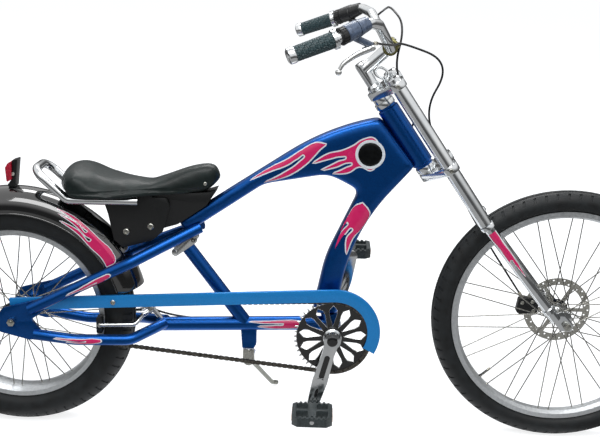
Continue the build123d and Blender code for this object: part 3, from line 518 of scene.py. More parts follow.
# Valves: black rubber stems with bright caps, through the rims between two spokes.
# Columns: axle, angle round the wheel, radius of the rim's inner face
valve_rubber = mottled("valve rubber", "#141516", 0.0, 0.5, 0.004, ("#101112", "#1B1D1E"), (0.42, 0.58))
for end, axle, angle, base in (("rear", rear_axle, -150, 194.0), ("front", front_axle, -138, 244.0)):
    out = Vector((math.cos(math.radians(angle)), 0, math.sin(math.radians(angle))))
    foot = axle + out * (base + 3)
    stem = lathe(foot, axle, [(0, 4.2), (6, 4.0), (9, 3.2), (26, 3.0), (27, 2.4)], 14)
    placed(stem, end + "_valve", end + "_wheel", "tyre_rubber", valve_rubber)
    cap = lathe(foot, axle, [(27, 2.4), (27.5, 3.4), (35, 3.2), (36, 2.2)], 12)
    placed(cap, end + "_valve_cap", end + "_wheel", "spoke_steel", brass)

# Hubs: chromed steel shells, turned, with a flange for each side's spokes
chrome = mottled("bright chrome plate", "#DADDDF", 1.0, 0.12, 0.03, ("#CED2D5", "#E2E4E5"),
                 (0.09, 0.15))
zinc = mottled("bright zinc plate", "#B9B9B2", 1.0, 0.3, 0.005, ("#A6A69E", "#C8C8C2"), (0.24, 0.38))
for end in ("rear", "front"):
    finished(end + "_hub", chrome, 30, 0.0006)
    finished(end + "_axle", zinc, 30, 0.0006)

# Brake disc: ground steel with drilled holes, bolted to a dark carrier on the front hub
disc_steel = mottled("ground brake steel", "#CCCBC4", 1.0, 0.38, 0.002, ("#BDBCB4", "#D8D7D0"),
                     (0.32, 0.44))
carrier = mottled("dark anodised carrier", "#1B2230", 0.8, 0.4, 0.004, ("#161C28", "#222B3C"),
                  (0.34, 0.46))
disc = finished("brake_disc", disc_steel, 30)
two_tone(disc, carrier, lambda m, n: math.hypot(m.x - front_axle.x, m.z - front_axle.z) < 34)


def bolted(name, body, heads):
    """Zinc plated bolts on a body as one piece, each given by place, direction, radius, height."""
    placed(joined([bolt(*head) for head in heads]), name, body, "zinc_steel", zinc)


bolted("disc_bolts", "front_wheel",
       [(front_axle + Vector((21 * math.cos(a), 40.9, 21 * math.sin(a))), (0, -1, 0), 3.4, 3)
        for a in (math.radians(60 * n + 30) for n in range(6))])

# Frame: welded steel tubes and the boxy beam, in a deep blue metallic lacquer under clear coat.
# Fine flakes and a soft orange-peel show in its gloss.
blue, tree, shader = new_material("blue metallic car lacquer", "#0A4C95", 0.94, 0.34,
                                  Coat_Weight=0.16, Coat_Roughness=0.08)
spot = mottle(tree, shader, 0.0024, ("#09478D", "#0C529E"), (0.3, 0.4))
ripple = add_node(tree, "ShaderNodeTexNoise", {"Vector": spot, "Scale": 70.0})
emboss(tree, shader, ripple.outputs["Fac"], 0.0002, "Coat Normal")
frame_rounding = {"frame_body": 0, "head_tube": 0, "lower_tube": 0, "upper_stay_right": 0,
                  "upper_stay_left": 0, "lower_stay_right": 0.0012, "lower_stay_left": 0.0012,
                  "seat_strut": 0, "chain_guard": 0.0008, "stand_bracket": 0.0008}
# The chain guard gets a lighter, less metallic copy of the frame's blue: painted light, standing in for
# the light that its face catches
lit_guard_blue = mottled("bright blue guard lacquer", "#1C8FDE", 0.4, 0.38, 0.0024, ("#1A89D6", "#1F96E5"),
                     (0.32, 0.42), Coat_Weight=0.3, Coat_Roughness=0.08)
skins = {node: finished(node, lit_guard_blue if node == "chain_guard" else blue, 40, bevel)
         for node, bevel in frame_rounding.items()}
# The beam and its leg are pressed shells with soft edges, so the skin is rounded further, less
# towards the beam's slim end and the leg's foot
slim_x, foot_z, least_soft, shell_voxel = 480, 290, 0.12, 0.0035
shell = skins["frame_body"]
soft = shell.vertex_groups.new(name="soft")
modify(shell, "pressed shell", "REMESH", mode="VOXEL", voxel_size=shell_voxel)
for point in shell.data.vertices:
    x, y, z = upright @ point.co
    share = min(1, (x - slim_x) / 220) * min(1, (z - foot_z) / 110)
    soft.add([point.index], max(least_soft, share), "REPLACE")
modify(shell, "pressed shell", "SMOOTH", factor=0.5, iterations=90, vertex_group="soft")
dress(shell, "frame", "blue_paint", blue, 180)
# A rounded sleeve over the head tube closes it against the beam
sleeve = lathe(on_fork(0, 0, -77), on_fork(0, 0, 77),
               [(0, 21.2), (2.5, 24.6), (151.5, 24.6), (154, 21.2)], 48)
placed(sleeve, "head_sleeve", "frame", "blue_paint", blue, 30)
finished("headset", chrome, 30, 0.001)
polished = mottled("polished aluminium", "#D2D3D2", 1.0, 0.2, 0.004, ("#C4C6C6", "#DDDEDD"),
                   (0.14, 0.26))

# Flames: pink film cut with curling tips, each on a slightly larger white one, laid on the
# lacquer along the beam, its leg, the tubes, the mudguard and the fork, on both sides.
pink_film = mottled("pink decal film", "#DE1A66", 0.0, 0.25, 0.02, ("#DC1763", "#E01C68"), (0.22, 0.28),
                    Coat_Weight=0.6)
white_film = mottled("white decal film", "#E9EEF2", 0.0, 0.25, 0.02, ("#E7ECF0", "#ECF0F3"),
                     (0.22, 0.28), Coat_Weight=0.6)
film_thick = 0.00015


def film(name, outline, y, skin, grow, lift, slices, material):
    """A thin decal laid on a skin, its side-view outline in (x, z, sharp) and cut into slices."""
    curve = bpy.data.curves.new(name, "CURVE")
    curve.dimensions = "2D"
    curve.fill_mode = "NONE"
    curve.resolution_u = 8
    spline = curve.splines.new("BEZIER")
    spline.bezier_points.add(len(outline) - 1)
    for point, (x, z, sharp) in zip(spline.bezier_points, outline):
        point.co = (x, z, 0)
        point.handle_left_type = point.handle_right_type = "VECTOR" if sharp else "AUTO"
    spline.use_cyclic_u = True
    piece = meshed(name, curve)
    edge = [point.co.copy() for point in piece.data.vertices]
    around = list(zip(edge[-1:] + edge[:-1], edge, edge[1:] + edge[:1]))
    turn = math.copysign(1, sum(a.x * b.y - b.x * a.y for a, b, c in around))
    for point, (before, here, after) in zip(piece.data.vertices, around):
        way = (after - before).normalized()
        point.co = here + Vector((way.y, -way.x, 0)) * turn * grow
    bpy.ops.object.mode_set(mode="EDIT")
    bpy.ops.mesh.select_all(action="SELECT")
    bpy.ops.mesh.fill()
    (x, z), (across, up), count, step = slices
    for n in range(2 * count):
        # Slices both ways, so that the film follows the skin's roundness
        shift = (n % count - count / 2) * step
        way_x, way_z = (across, up) if n < count else (-up, across)
        bpy.ops.mesh.select_all(action="SELECT")
        bpy.ops.mesh.bisect(plane_co=(x + shift * way_x, z + shift * way_z, 0),
                            plane_no=(way_x, way_z, 0))
    shut()
    piece.data.transform(parked @ Matrix.Translation((0, y, 0)) @ wheel_turn)
    choose(piece)
    modify(piece, "laid on", "SHRINKWRAP", target=skin, wrap_method="NEAREST_SURFACEPOINT",
           wrap_mode="ABOVE_SURFACE", offset=lift)
    modify(piece, "film", "SOLIDIFY", thickness=film_thick, offset=0)
    return dress(piece, skin["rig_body"], skin["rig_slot"], material, 30)


def flame(title, side, outline, y, skin, grow, lifts, slices):
    """A white film and, over it, a pink one."""
    film(f"{title}_flame_edge_{side}", outline, y, skin, grow, lifts[0], slices, white_film)
    film(f"{title}_flame_{side}", outline, y, skin, 0.0, lifts[1], slices, pink_film)


# Each flame: node it lies on, Y of the film before it is laid, sides (-1 right, 1 left), the
# point and direction of its slices with their number and step, and its outline
beam_flow = [(728, 714, 1), (704, 716, 0), (672, 698, 0), (640, 676, 0), (596, 655, 0), (556, 628, 1),
             (604, 649, 0), (640, 664, 0), (664, 680, 0), (680, 688, 0), (668, 670, 0), (636, 646, 0),
             (590, 619, 1), (644, 640, 0), (684, 668, 0), (704, 690, 0), (716, 704, 0)]
ring_flow = [(838, 729, 0), (812, 727, 0), (790, 712, 0), (764, 700, 0), (734, 692, 0), (700, 670, 1),
             (738, 682, 0), (762, 688, 0), (776, 686, 0), (756, 674, 0), (720, 654, 1), (754, 664, 0),
             (778, 674, 0), (790, 672, 0), (774, 660, 0), (746, 646, 1), (782, 652, 0),
             (802, 665, 0), (812, 665, 0), (834, 659, 0), (844, 690, 0)]
leg_flow = [(816, 579, 1), (832, 558, 0), (834, 534, 0), (820, 517, 0), (800, 500, 0), (783, 455, 1),
            (783, 494, 0), (795, 519, 0), (777, 504, 0), (755, 467, 1), (763, 503, 0), (783, 533, 0),
            (771, 525, 0), (758, 503, 1), (765, 537, 0), (787, 566, 0)]
tube_flow = [(688, 276, 0), (668, 284, 0), (632, 283, 0), (596, 279, 0), (556, 277, 1), (600, 273, 0),
             (630, 274, 0), (640, 272, 0), (618, 266, 0), (578, 263, 1), (620, 258, 0), (660, 260, 0),
             (684, 266, 0)]
upper_flow = [(238, 405, 0), (222, 402, 0), (196, 388, 0), (168, 370, 0), (136, 352, 1), (172, 366, 0),
              (198, 380, 0), (210, 384, 0), (196, 374, 0), (172, 358, 1), (206, 372, 0), (232, 388, 0)]
lower_flow = [(212, 243, 0), (198, 248, 0), (170, 246, 0), (140, 245, 0), (102, 246, 1), (144, 240, 0),
              (168, 240, 0), (178, 240, 0), (160, 236, 0), (130, 236, 1), (170, 232, 0), (200, 235, 0)]
flames = [
    ("beam", "frame_body", 24, ((644, 664), (1, 0), 30, 6), beam_flow),
    ("ring", "frame_body", 28, ((770, 690), (1, 0), 26, 6), ring_flow),
    ("leg", "frame_body", 28, ((800, 540), (0, 1), 30, 6), leg_flow),
    ("tube", "lower_tube", 19, ((620, 271), (-0.04, 1), 60, 2.6), tube_flow),
    ("upper", "upper_stay", 90, ((190, 378), (-0.44, 0.9), 12, 2.4), upper_flow),
    ("lower", "lower_stay", 90, ((160, 240), (0.05, 1), 12, 2.2), lower_flow),
]
for title, node, y, slices, outline in flames:
    for hand, side in hands:
        skin = skins[node if node in skins else node + "_" + side]
        flame(title, side, outline, hand * y, skin, 3.2, (0.0003, 0.0007), slices)

# Emblem: a plain white ring round a black domed disc, stuck on the beam's cheek on each side
black_film = mottled("black domed resin badge", "#08090A", 0.0, 0.2, 0.01, ("#060708", "#0B0D0E"),
                     (0.16, 0.26), Specular_IOR_Level=0.25, Coat_Weight=0.1)
for hand, side in hands:
    cheek = Vector((829, hand * 28.3, 694))
    away = Vector((-0.0206, hand, 0))
    ring = lathe(cheek, cheek + away,
                 [(-0.5, 34), (0.7, 34), (1.0, 33.6), (1.0, 27.4), (0.6, 27.0)], 64)
    placed(ring, "emblem_ring_" + side, "frame", "blue_paint", white_film)
    dome = lathe(cheek, cheek + away,
                 [(0.2, 27.2), (1.2, 27.2), (1.8, 26), (2.2, 22), (2.5, 14), (2.6, 4)], 64)
    placed(dome, "emblem_disc_" + side, "frame", "blue_paint", black_film)

# Mudguard: pressed steel in black gloss enamel, its hem rolled round a wire, with the same
# flames along each haunch
black = mottled("black gloss enamel", "#060708", 0.0, 0.12, 0.05, ("#040506", "#090B0C"), (0.08, 0.16),
                Coat_Weight=1.0, Coat_Roughness=0.03, Coat_IOR=1.75)
fender = finished("rear_fender", black, 40, 0.0004)
fender_wire = []
for y in (-50, 50):
    wire = primitive("torus", major_radius=256.4, minor_radius=2.0, major_segments=160,
                     minor_segments=10)
    pick(wire, lambda m, n, i: not math.radians(15) < math.atan2(m.y, m.x) < math.radians(160))
    bpy.ops.mesh.delete(type="FACE")
    bpy.ops.mesh.select_all(action="SELECT")
    bpy.ops.mesh.fill_holes(sides=0)
    shut()
    wire.matrix_world = Matrix.Translation((0, y, 280)) @ wheel_turn
    fender_wire.append(wire)
placed(joined(fender_wire), "fender_hem_wire", "frame", "black_paint", black, 50)
# The outline in (angle round the axle, radius, sharp)
fender_flow = [(31, 262, 1), (31.5, 288, 0), (36, 297, 0), (44, 293, 0), (52, 296, 0), (60, 302, 0),
               (68, 300, 1), (60, 294, 0), (54, 287, 0), (50, 284, 0), (57, 287, 0), (66, 286, 1),
               (57, 280, 0), (50, 274, 0), (46, 273, 0), (54, 273, 0), (64, 271, 1), (53, 266, 0),
               (44, 261, 0), (36, 264, 0)]
fender_flow = [(r * math.cos(math.radians(a)), 280 + r * math.sin(math.radians(a)), s)
               for a, r, s in fender_flow]
fender_slices = ((184, 491), (0.656, 0.755), 16, 3)
for hand, side in hands:
    flame("fender", side, fender_flow, hand * 52, fender, 2.2, (0.0002, 0.0004), fender_slices)

# Reflector: a red acrylic lens of small prisms in a black holder, bolted over the mudguard
black_steel = mottled("black powder coated steel", "#0B0C0D", 0.0, 0.34, 0.0012, ("#08090A", "#111314"),
                      (0.28, 0.42), 0.0001)


def prisms(name, colour, roughness, scale, light, dark, **sockets):
    """An acrylic reflector of small prisms, its colour painted lighter in each prism's middle and
    darker at its edges as painted facet shading: its material, tree, shader and the prisms' relief.
    """
    made, tree, shader = new_material(name, colour, 0.0, roughness, Coat_Weight=1.0, **sockets)
    spot = add_node(tree, "ShaderNodeTexCoord").outputs["Object"]
    prism = add_node(tree, "ShaderNodeTexVoronoi", {"Vector": spot, "Scale": scale}, feature="F1")
    painted_facet_shade = add_node(tree, "ShaderNodeMix", {0: prism.outputs["Distance"], 6: rgb(light), 7: rgb(dark)},
                    data_type="RGBA")
    tree.links.new(painted_facet_shade.outputs[2], shader.inputs["Base Color"])
    return made, tree, shader, prism.outputs["Distance"]


# The red lens glows faintly in its own colour, a painted glow, over its painted facet shading
lens, tree, shader, relief = prisms("red acrylic prism lens", "#B3102E", 0.1, 260.0, "#C41436",
                                    "#7E0A20", Emission_Strength=0.05)
shader.inputs["Emission Color"].default_value = rgb("#B3102E")
emboss(tree, shader, relief, 0.0008)
finished("reflector", lens, 30, 0.0012)
finished("reflector_bracket", black_steel, 30, 0.0008)
bolted("reflector_bolt", "frame", [((4, -14, 622), (0, -1, 0.2), 4.5, 3)])

# Seat: a moulded foam pad under black vinyl, broad behind, with a long nose, pulled down over
# the edge of its pan; a bright rivet holds the nose on each side
vinyl, tree, shader = new_material("black upholstery vinyl", "#0C1716", 0.0, 0.42,
                                   Specular_IOR_Level=0.28, Coat_Weight=0.06, Coat_Roughness=0.3,
                                   Sheen_Weight=0.06, Sheen_Roughness=0.4)
spot = mottle(tree, shader, 0.02, ("#091312", "#101D1C"), (0.36, 0.48))
# The vinyl's leather grain is about a millimetre, drawn a little coarser than it is
grain = add_node(tree, "ShaderNodeTexVoronoi", {"Vector": spot, "Scale": 700.0}, feature="SMOOTH_F1")
emboss(tree, shader, grain.outputs["Distance"], 0.0002, strength=0.6)
seat_base, seat_middle = 584.0, 310.0
seat = linked("seat_pad", frame["nodes"]["seat"].data.copy())
pick(seat)
bpy.ops.mesh.remove_doubles(threshold=0.000002)
shut()
for point in seat.data.vertices:
    x, y, z = upright @ point.co
    point.co = parked @ Vector((seat_middle + (x - seat_middle) * 0.995, y * 0.97,
                                seat_base + 0.8 + (z - seat_base) * 0.965))
modify(seat, "even mesh", "REMESH", mode="VOXEL", voxel_size=0.005)
# Its top is crowned from side to side, more where the seat is broad: half width at each X
plan = [(120, 62), (149, 92), (179, 98), (234, 92), (284, 66), (334, 45), (414, 33), (474, 28),
        (499, 14)]
for point in seat.data.vertices:
    x, y, z = upright @ point.co
    low = max([p for p in plan if p[0] <= x] or plan[:1])
    high = min([p for p in plan if p[0] > x] or plan[-1:])
    share = (x - low[0]) / max(high[0] - low[0], 1)
    broad = low[1] + (high[1] - low[1]) * max(0, min(1, share))
    drop = 0.3 * broad / 98 * min(1.0, abs(y) / broad) ** 2
    point.co = parked @ Vector((x, y, z - max(0, z - seat_base - 4) * drop))
crown = seat.vertex_groups.new(name="crown")
pan_edge = seat.vertex_groups.new(name="pan edge")
for point in seat.data.vertices:
    rise = (upright @ point.co).z - seat_base
    crown.add([point.index], max(0.0, min(1.0, (rise - 6) / 12)), "REPLACE")
    pan_edge.add([point.index], 1.0 if rise < 5 else 0.0, "REPLACE")
modify(seat, "rounded foam", "SMOOTH", factor=0.6, iterations=80, vertex_group="crown")
# The foam swells under pressure, and no point moves further than the cap, in metres
pressure, swell_steps, swell_cap = 4, 20, 0.006
start = [point.co.copy() for point in seat.data.vertices]
swell = seat.modifiers.new("swollen foam", "CLOTH")
swell.settings.use_pressure = True
swell.settings.uniform_pressure_force = pressure
swell.settings.effector_weights.gravity = 0
swell.settings.vertex_group_mass = "pan edge"
for step in range(1, swell_steps + 1):
    bpy.context.scene.frame_set(step)
shape = seat.evaluated_get(bpy.context.evaluated_depsgraph_get()).to_mesh()
swollen = [point.co.copy() for point in shape.vertices]
seat.modifiers.remove(swell)
bpy.context.scene.frame_set(1)
for point, before, after in zip(seat.data.vertices, start, swollen):
    move = after - before
    point.co = before + move * min(1.0, swell_cap / max(move.length, 1e-9))
modify(seat, "foam under the vinyl", "SMOOTH", factor=0.5, iterations=24, vertex_group="crown")
modify(seat, "fine mesh", "SUBSURF", levels=1, render_levels=1)
# The groove where the vinyl is drawn in, above the edge of the pan
pick(seat, lambda m, n, i: 13 < (upright @ m).z - seat_base < 18
     and abs((upright.to_3x3() @ n).normalized().z) < 0.8)
bpy.ops.transform.shrink_fatten(value=-0.0014)
shut()
dress(seat, "frame", "black_vinyl", vinyl, 180)
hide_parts("seat")
rivets = []
for hand in (-1, 1):
    _, place, way, _ = seat.closest_point_on_mesh(parked @ Vector((462, hand * 60, 611)))
    rivets.append((upright @ place, upright.to_3x3() @ way, 4.5, 2.5))
bolted("seat_rivets", "frame", rivets)

# Seat bracket: black steel plates under the pan, with two zinc bolts right through them, and
# the chromed grab hoop that is clamped between them
finished("seat_bracket", black_steel, 30, 0.0012)
bolted("seat_bolts", "frame", [((x, hand * 37, z), (0, hand, 0), 7.5, 5)
                               for x, z in ((270, 498), (327, 512)) for hand in (-1, 1)])
finished("grab_hoop", chrome, 50)

# Strut clamp: two polished bars round the seat strut, with dark bolts ahead of it and polished
# ones behind
finished("strut_clamp", polished, 30, 0.0012)
dark_steel = mottled("oiled dark steel", "#3B3936", 1.0, 0.38, 0.003, ("#2C2A28", "#55514B"),
                     (0.3, 0.5))
saddle = Vector((384, 0, 486))
strut_way = (Vector((332, 0, 256)).lerp(Vector((748, 0, 272)), 0.52) - saddle).normalized()
across_strut = Vector((-strut_way.z, 0, strut_way.x))
for reach, title, metal in ((26.5, "clamp_lower_bolts", dark_steel),
                            (-26.5, "clamp_upper_bolts", polished)):
    middle = saddle + strut_way * 31 + across_strut * reach
    bolts = [bolt(middle + Vector((0, hand * 21, 0)), (0, hand, 0), 5, 4.5) for hand in (-1, 1)]
    placed(joined(bolts), title, "frame", "dark_steel", metal)

# Chain and rear sprocket: oiled dark steel, mottled darker and lighter at random
chain_steel = mottled("oiled chain steel", "#4A4743", 1.0, 0.34, 0.004, ("#34312E", "#7C7871"),
                      (0.26, 0.44))
finished("chain", chain_steel, 30)
finished("rear_sprocket", dark_steel, 30, 0.0005)
bolted("guard_bolt", "frame", [((238, -59.4, 330), (0, -1, 0), 6, 4)])

# Chainring: a steel disc with long slots, black on its face and bright where its edges and
# teeth were ground afterwards
ring_black = mottled("black chainring enamel", "#0A0B0C", 0.0, 0.2, 0.01, ("#070809", "#101214"),
                     (0.15, 0.28), Coat_Weight=0.6)
bright_edge = mottled("ground bright steel edge", "#D4D5D4", 1.0, 0.22, 0.003, ("#C4C5C5", "#E0E1E0"),
                      (0.16, 0.3))
black_face_r = 84.5
chainring = finished("chainring", ring_black, 30, 0.0009, 1)
two_tone(chainring, bright_edge, lambda m, n: not (
    abs(n.y) > 0.95 and math.hypot(m.x - bracket.x, m.z - bracket.z) < black_face_r))

# Cranks: chromed forged arms, each with a black recess down its face and a black mark near
# the pedal. A black cap covers each end of the spindle, and a boss carries the chainring.
two_tone(finished("cranks", chrome, 30, 0.0014), ring_black, lambda m, n: (
    abs(n.y) > 0.9 and 74 < abs(m.y) < 77.5 and (m - bracket).length > 30))
swing = Vector((-math.sin(math.radians(14.5)), 0, -math.cos(math.radians(14.5))))
marks = []
for hand in (-1, 1):
    mark = primitive("circle", vertices=28, radius=1, fill_type="NGON")
    pick(mark)
    bpy.ops.transform.resize(value=(13, 4.2, 1), center_override=(0, 0, 0))
    raise_face(0.5, 0.5, 0.94, 0.9)
    shut()
    away = Vector((0, hand, 0))
    long = swing * -hand
    turn = Matrix((long, away.cross(long), away)).transposed().to_4x4()
    mark.matrix_world = Matrix.Translation(bracket + long * 137 + away * 80.0) @ turn
    marks.append(mark)
placed(joined(marks), "crank_marks", "crankset", "black_steel", ring_black)
caps = [lathe(bracket + Vector((0, hand * 80, 0)), bracket + Vector((0, hand * 90, 0)),
              [(0, 12.5), (1.6, 12.5), (2.6, 11), (3.0, 6)], 32) for hand in (-1, 1)]
placed(joined(caps), "crank_caps", "crankset", "black_steel", ring_black)
boss = lathe(bracket + Vector((0, -54.5, 0)), bracket + Vector((0, -66, 0)),
             [(0, 22), (3, 22), (5, 19), (11.5, 19)], 32)
placed(boss, "chainring_boss", "crankset", "chrome", chrome, 30)

# Pedals: moulded nylon cages, dark grey-green, with amber reflectors let into both edges
pedal_nylon = mottled("moulded pedal nylon", "#353C3D", 0.0, 0.42, 0.004, ("#2B3233", "#424A4B"),
                      (0.34, 0.5), 0.0003)
# The amber lens carries the same painted facet shading, lighter in each prism's middle and darker at
# its edges
amber = prisms("amber acrylic reflector", "#D9822B", 0.12, 300.0, "#E8913A", "#A85A18")[0]
for hand, side in hands:
    finished("pedal_" + side, pedal_nylon, 30, 0.0014)
    eye = bracket + swing * 170 * -hand
    blocks = []
    for way in (-1, 1):
        block = primitive("cube", size=1)
        pick(block)
        bpy.ops.transform.resize(value=(2.4, 46, 13), center_override=(0, 0, 0))
        bpy.ops.mesh.bevel(offset=0.8, segments=2)
        shut()
        block.matrix_world = Matrix.Translation(eye + Vector((way * 46.8, hand * 127, 0)))
        blocks.append(block)
    placed(joined(blocks), "pedal_reflectors_" + side, "pedal_" + side, "pedal_plastic", amber)

# Stand: a dull zinc plated rod that swings on a slanting pin, behind a rounded plate that is
# bolted to the stand's bracket
worn_zinc = mottled("worn dull zinc plate", "#7C7D75", 1.0, 0.4, 0.006, ("#64655E", "#94958D"),
                    (0.32, 0.5))
finished("stand_leg", worn_zinc, 40)
stand_pivot = Vector((557, 0, 172))
plate = primitive("circle", vertices=32, radius=15, fill_type="NGON")
for point in plate.data.vertices:
    if point.co.y > 4:
        point.co = (math.copysign(14, point.co.x) if abs(point.co.x) > 3 else point.co.x * 4, 30, 0)
pick(plate)
bpy.ops.mesh.remove_doubles(threshold=0.01)
bpy.ops.mesh.select_all(action="SELECT")
raise_face(3, 3, 0.92, 0.94)
shut()
plate.matrix_world = Matrix.Translation(stand_pivot + Vector((-2, -11.3, 2))) @ wheel_turn
placed(plate, "stand_plate", "frame", "zinc_steel", zinc, 30)
bolted("stand_bolt", "frame", [(stand_pivot + Vector((-2, -14.2, 26)), (0, -1, 0), 4.5, 3)])

# Fork: chromed steel stanchions held in two forged crowns, with slimmer lower legs; each crown
# is pinched on its stanchions by bolts
for node, bevel in (("steerer", 0.0008), ("fork_crowns", 0.002), ("stanchions", 0)):
    finished(node, chrome, 30, bevel)
legs = finished("fork_legs", chrome, 30, 0.001)
pinches = []
for level in (116, -107):
    for hand in (-1, 1):
        inner, outer = on_fork(24, hand * 52, level), on_fork(-10, hand * 60, level)
        pinches += [(on_fork(45.5, hand * 85, level), (0, hand, 0), 5.5, 4),
                    (inner, outer - inner, 4.5, 4)]
bolted("crown_bolts", "fork", pinches)
# Dust seals where the stanchions enter the lower legs, and a ring at the foot of each leg
leg_top, leg_low = on_fork(46.5, 0, -262), on_fork(64.4, 0, -547.6)
seals = []
for hand in (-1, 1):
    top, low = [end + Vector((0, hand * 65, 0)) for end in (leg_top, leg_low)]
    seals += [lathe(top, low, [(0, 16.6), (2, 17.4), (9, 17.4), (12, 14.2), (20, 13.4)], 32),
              lathe(top, low, [(250, 13.2), (252, 14.6), (262, 14.6), (264, 13.2)], 32)]
placed(joined(seals), "fork_seals", "fork", "chrome", chrome, 30)
# The lower legs' flames, drawn in distance down the leg and across it
leg_way = (leg_low - leg_top).normalized()
leg_over = Vector((leg_way.z, 0, -leg_way.x))
fork_flow = [(13, -12, 1), (14, 10, 0), (38, 12, 0), (62, 8, 0), (88, 10, 0), (128, 7, 1), (98, 2, 0),
             (114, -1, 0), (152, -4, 1), (110, -9, 0), (84, -11, 0), (56, -10, 0), (36, -12, 0)]
fork_flow = [(*(leg_top + leg_way * d + leg_over * w).xz, s) for d, w, s in fork_flow]
fork_slices = ((*(leg_top + leg_way * 90).xz,), (leg_over.x, leg_over.z), 8, 2.5)
for hand, side in hands:
    flame("leg", side + "_fork", fork_flow, hand * 80, legs, 1.4, (0.0002, 0.0004), fork_slices)
# A post on the upper crown, with the ring that guides the rear brake's cable
placed(lathe(on_fork(30, 0, 128), on_fork(30, 0, 150), [(-3, 6), (4, 6), (6, 4), (12, 4)], 18),
       "hanger_post", "fork", "chrome", chrome, 30)
hanger = primitive("torus", major_radius=11, minor_radius=3, major_segments=40, minor_segments=12)
pick(hanger)
bpy.ops.transform.resize(value=(1.5, 1, 1), center_override=(0, 0, 0))
shut()
hanger.matrix_world = (Matrix.Translation(on_fork(30, 0, 150))
                       @ Matrix.Rotation(math.radians(25), 4, "Y") @ wheel_turn)
placed(hanger, "cable_hanger", "fork", "chrome", chrome, 60)

# Stem and handlebar: chromed steel tube, the bar pinched in the stem's front by a dark cap with four
# bolts, and a black disc in the top of the quill: painted shade standing for the dark inside of its
# open end
gunmetal = mottled("bronzed gunmetal", "#7A7748", 1.0, 0.3, 0.006, ("#55522F", "#979362"), (0.22, 0.4))
stem = finished("stem", chrome, 30, 0.0012)
two_tone(stem, gunmetal, lambda m, n: abs(m.y) > 21.4 and m.z > 900)
finished("handlebar", chrome, 50)
bar_at = Vector((864, 0, 933))
stem_way = (bar_at - on_fork(0, 0, 177)).normalized()
cap = lathe(bar_at + stem_way * 9, bar_at + stem_way * 30, [(0, 15), (9, 15), (11, 12.5)], 8)
placed(cap, "stem_cap", "fork", "chrome", gunmetal, 30)
stem_up = stem_way.cross(Vector((0, 1, 0)))
cap_face = bar_at + stem_way * 19.5
bolted("stem_bolts", "fork", [(cap_face + stem_up * up + Vector((0, y, 0)), stem_way, 3.4, 3)
                              for up in (-7, 7) for y in (-7, 7)])
# A black disc in the quill's top is painted shade for the inside of the open tube
quill = lathe(on_fork(0, 0, 195.5), on_fork(0, 0, 200),
              [(0, 8.4), (0.9, 8.4), (1.0, 4.5), (0.6, 4.4)])
placed(quill, "quill_opening", "fork", "chrome", ring_black, 30)

# Grips: dark blue-green rubber sleeves, moulded with a diagonal pattern of raised pads,
# between chromed collars and end caps
grip_rubber = mottled("moulded grip rubber", "#20363A", 0.0, 0.5, 0.005, ("#1A2E32", "#2B4448"),
                      (0.42, 0.6), 0.0002)
lever_at, grip_start, bar_end = (806, 235, 1003), (745, 275, 975), (653, 300, 941)
grip_length, grip_rows, grip_sides = 79.0, 16, 24
grips = []
for hand in (-1, 1):
    inner, outer = [Vector((x, hand * y, z)) for x, y, z in (grip_start, bar_end)]
    rings = [(12 + grip_length * n / grip_rows, 15.9 - 1.1 * n / grip_rows)
             for n in range(grip_rows + 1)]
    grip = lathe(inner, outer, [(12, 11.4)] + rings + [(12 + grip_length, 11.4)], grip_sides)
    pick(grip, lambda m, n, i: math.hypot(m.x, m.y) > 14 and abs(n.z) < 0.5
         and (int(m.z / (grip_length / grip_rows))
              + int((math.atan2(m.y, m.x) + math.pi) / (2 * math.pi / grip_sides))) % 3 != 0)
    bpy.ops.mesh.inset(thickness=0.7, depth=0.9, use_individual=True)
    shut()
    grips.append(grip)
grip = placed(joined(grips), "grip_sleeves", "fork", "grip_rubber", grip_rubber, 30)
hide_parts("grips")
finished("grip_collars", chrome, 48, 0.0006)

# Lever housings: a blue-grey sleeve on the right of the bar and a black one on the left, each
# with a ribbed twist ring beside it
housing = mottled("blue-grey moulded plastic", "#4C5A70", 0.0, 0.32, 0.008, ("#3D4A5E", "#5D6C84"),
                  (0.26, 0.42), Coat_Weight=0.3)
nylon = mottled("black moulded nylon", "#101214", 0.0, 0.4, 0.003, ("#0C0D0F", "#191C1E"), (0.34, 0.5))
clamps = finished("lever_clamps", nylon, 30, 0.001)
two_tone(clamps, housing, lambda m, n: m.y < 0)
rib_sides = 36
for hand, side in hands:
    near, far = [Vector((x, hand * y, z)) for x, y, z in (lever_at, grip_start)]
    sleeve = lathe(near, far, [(2, 12.2), (3, 14), (24, 16.5), (28, 17.6), (30, 17.6)], 28)
    placed(sleeve, "lever_sleeve_" + side, "fork", "black_steel", housing if hand < 0 else nylon, 30)
    ring = lathe(near, far, [(60, 15), (60.5, 17.5), (72, 18.5), (73.5, 17), (74, 12)], rib_sides)
    pick(ring, lambda m, n, i: math.hypot(m.x, m.y) > 16.8
         and int((math.atan2(m.y, m.x) + math.pi) / (2 * math.pi / rib_sides)) % 2)
    bpy.ops.mesh.inset(thickness=0.3, depth=0)
    bpy.ops.mesh.inset(thickness=0.1, depth=-1.0)
    shut()
    placed(ring, "twist_ring_" + side, "fork", "black_steel", nylon, 30)

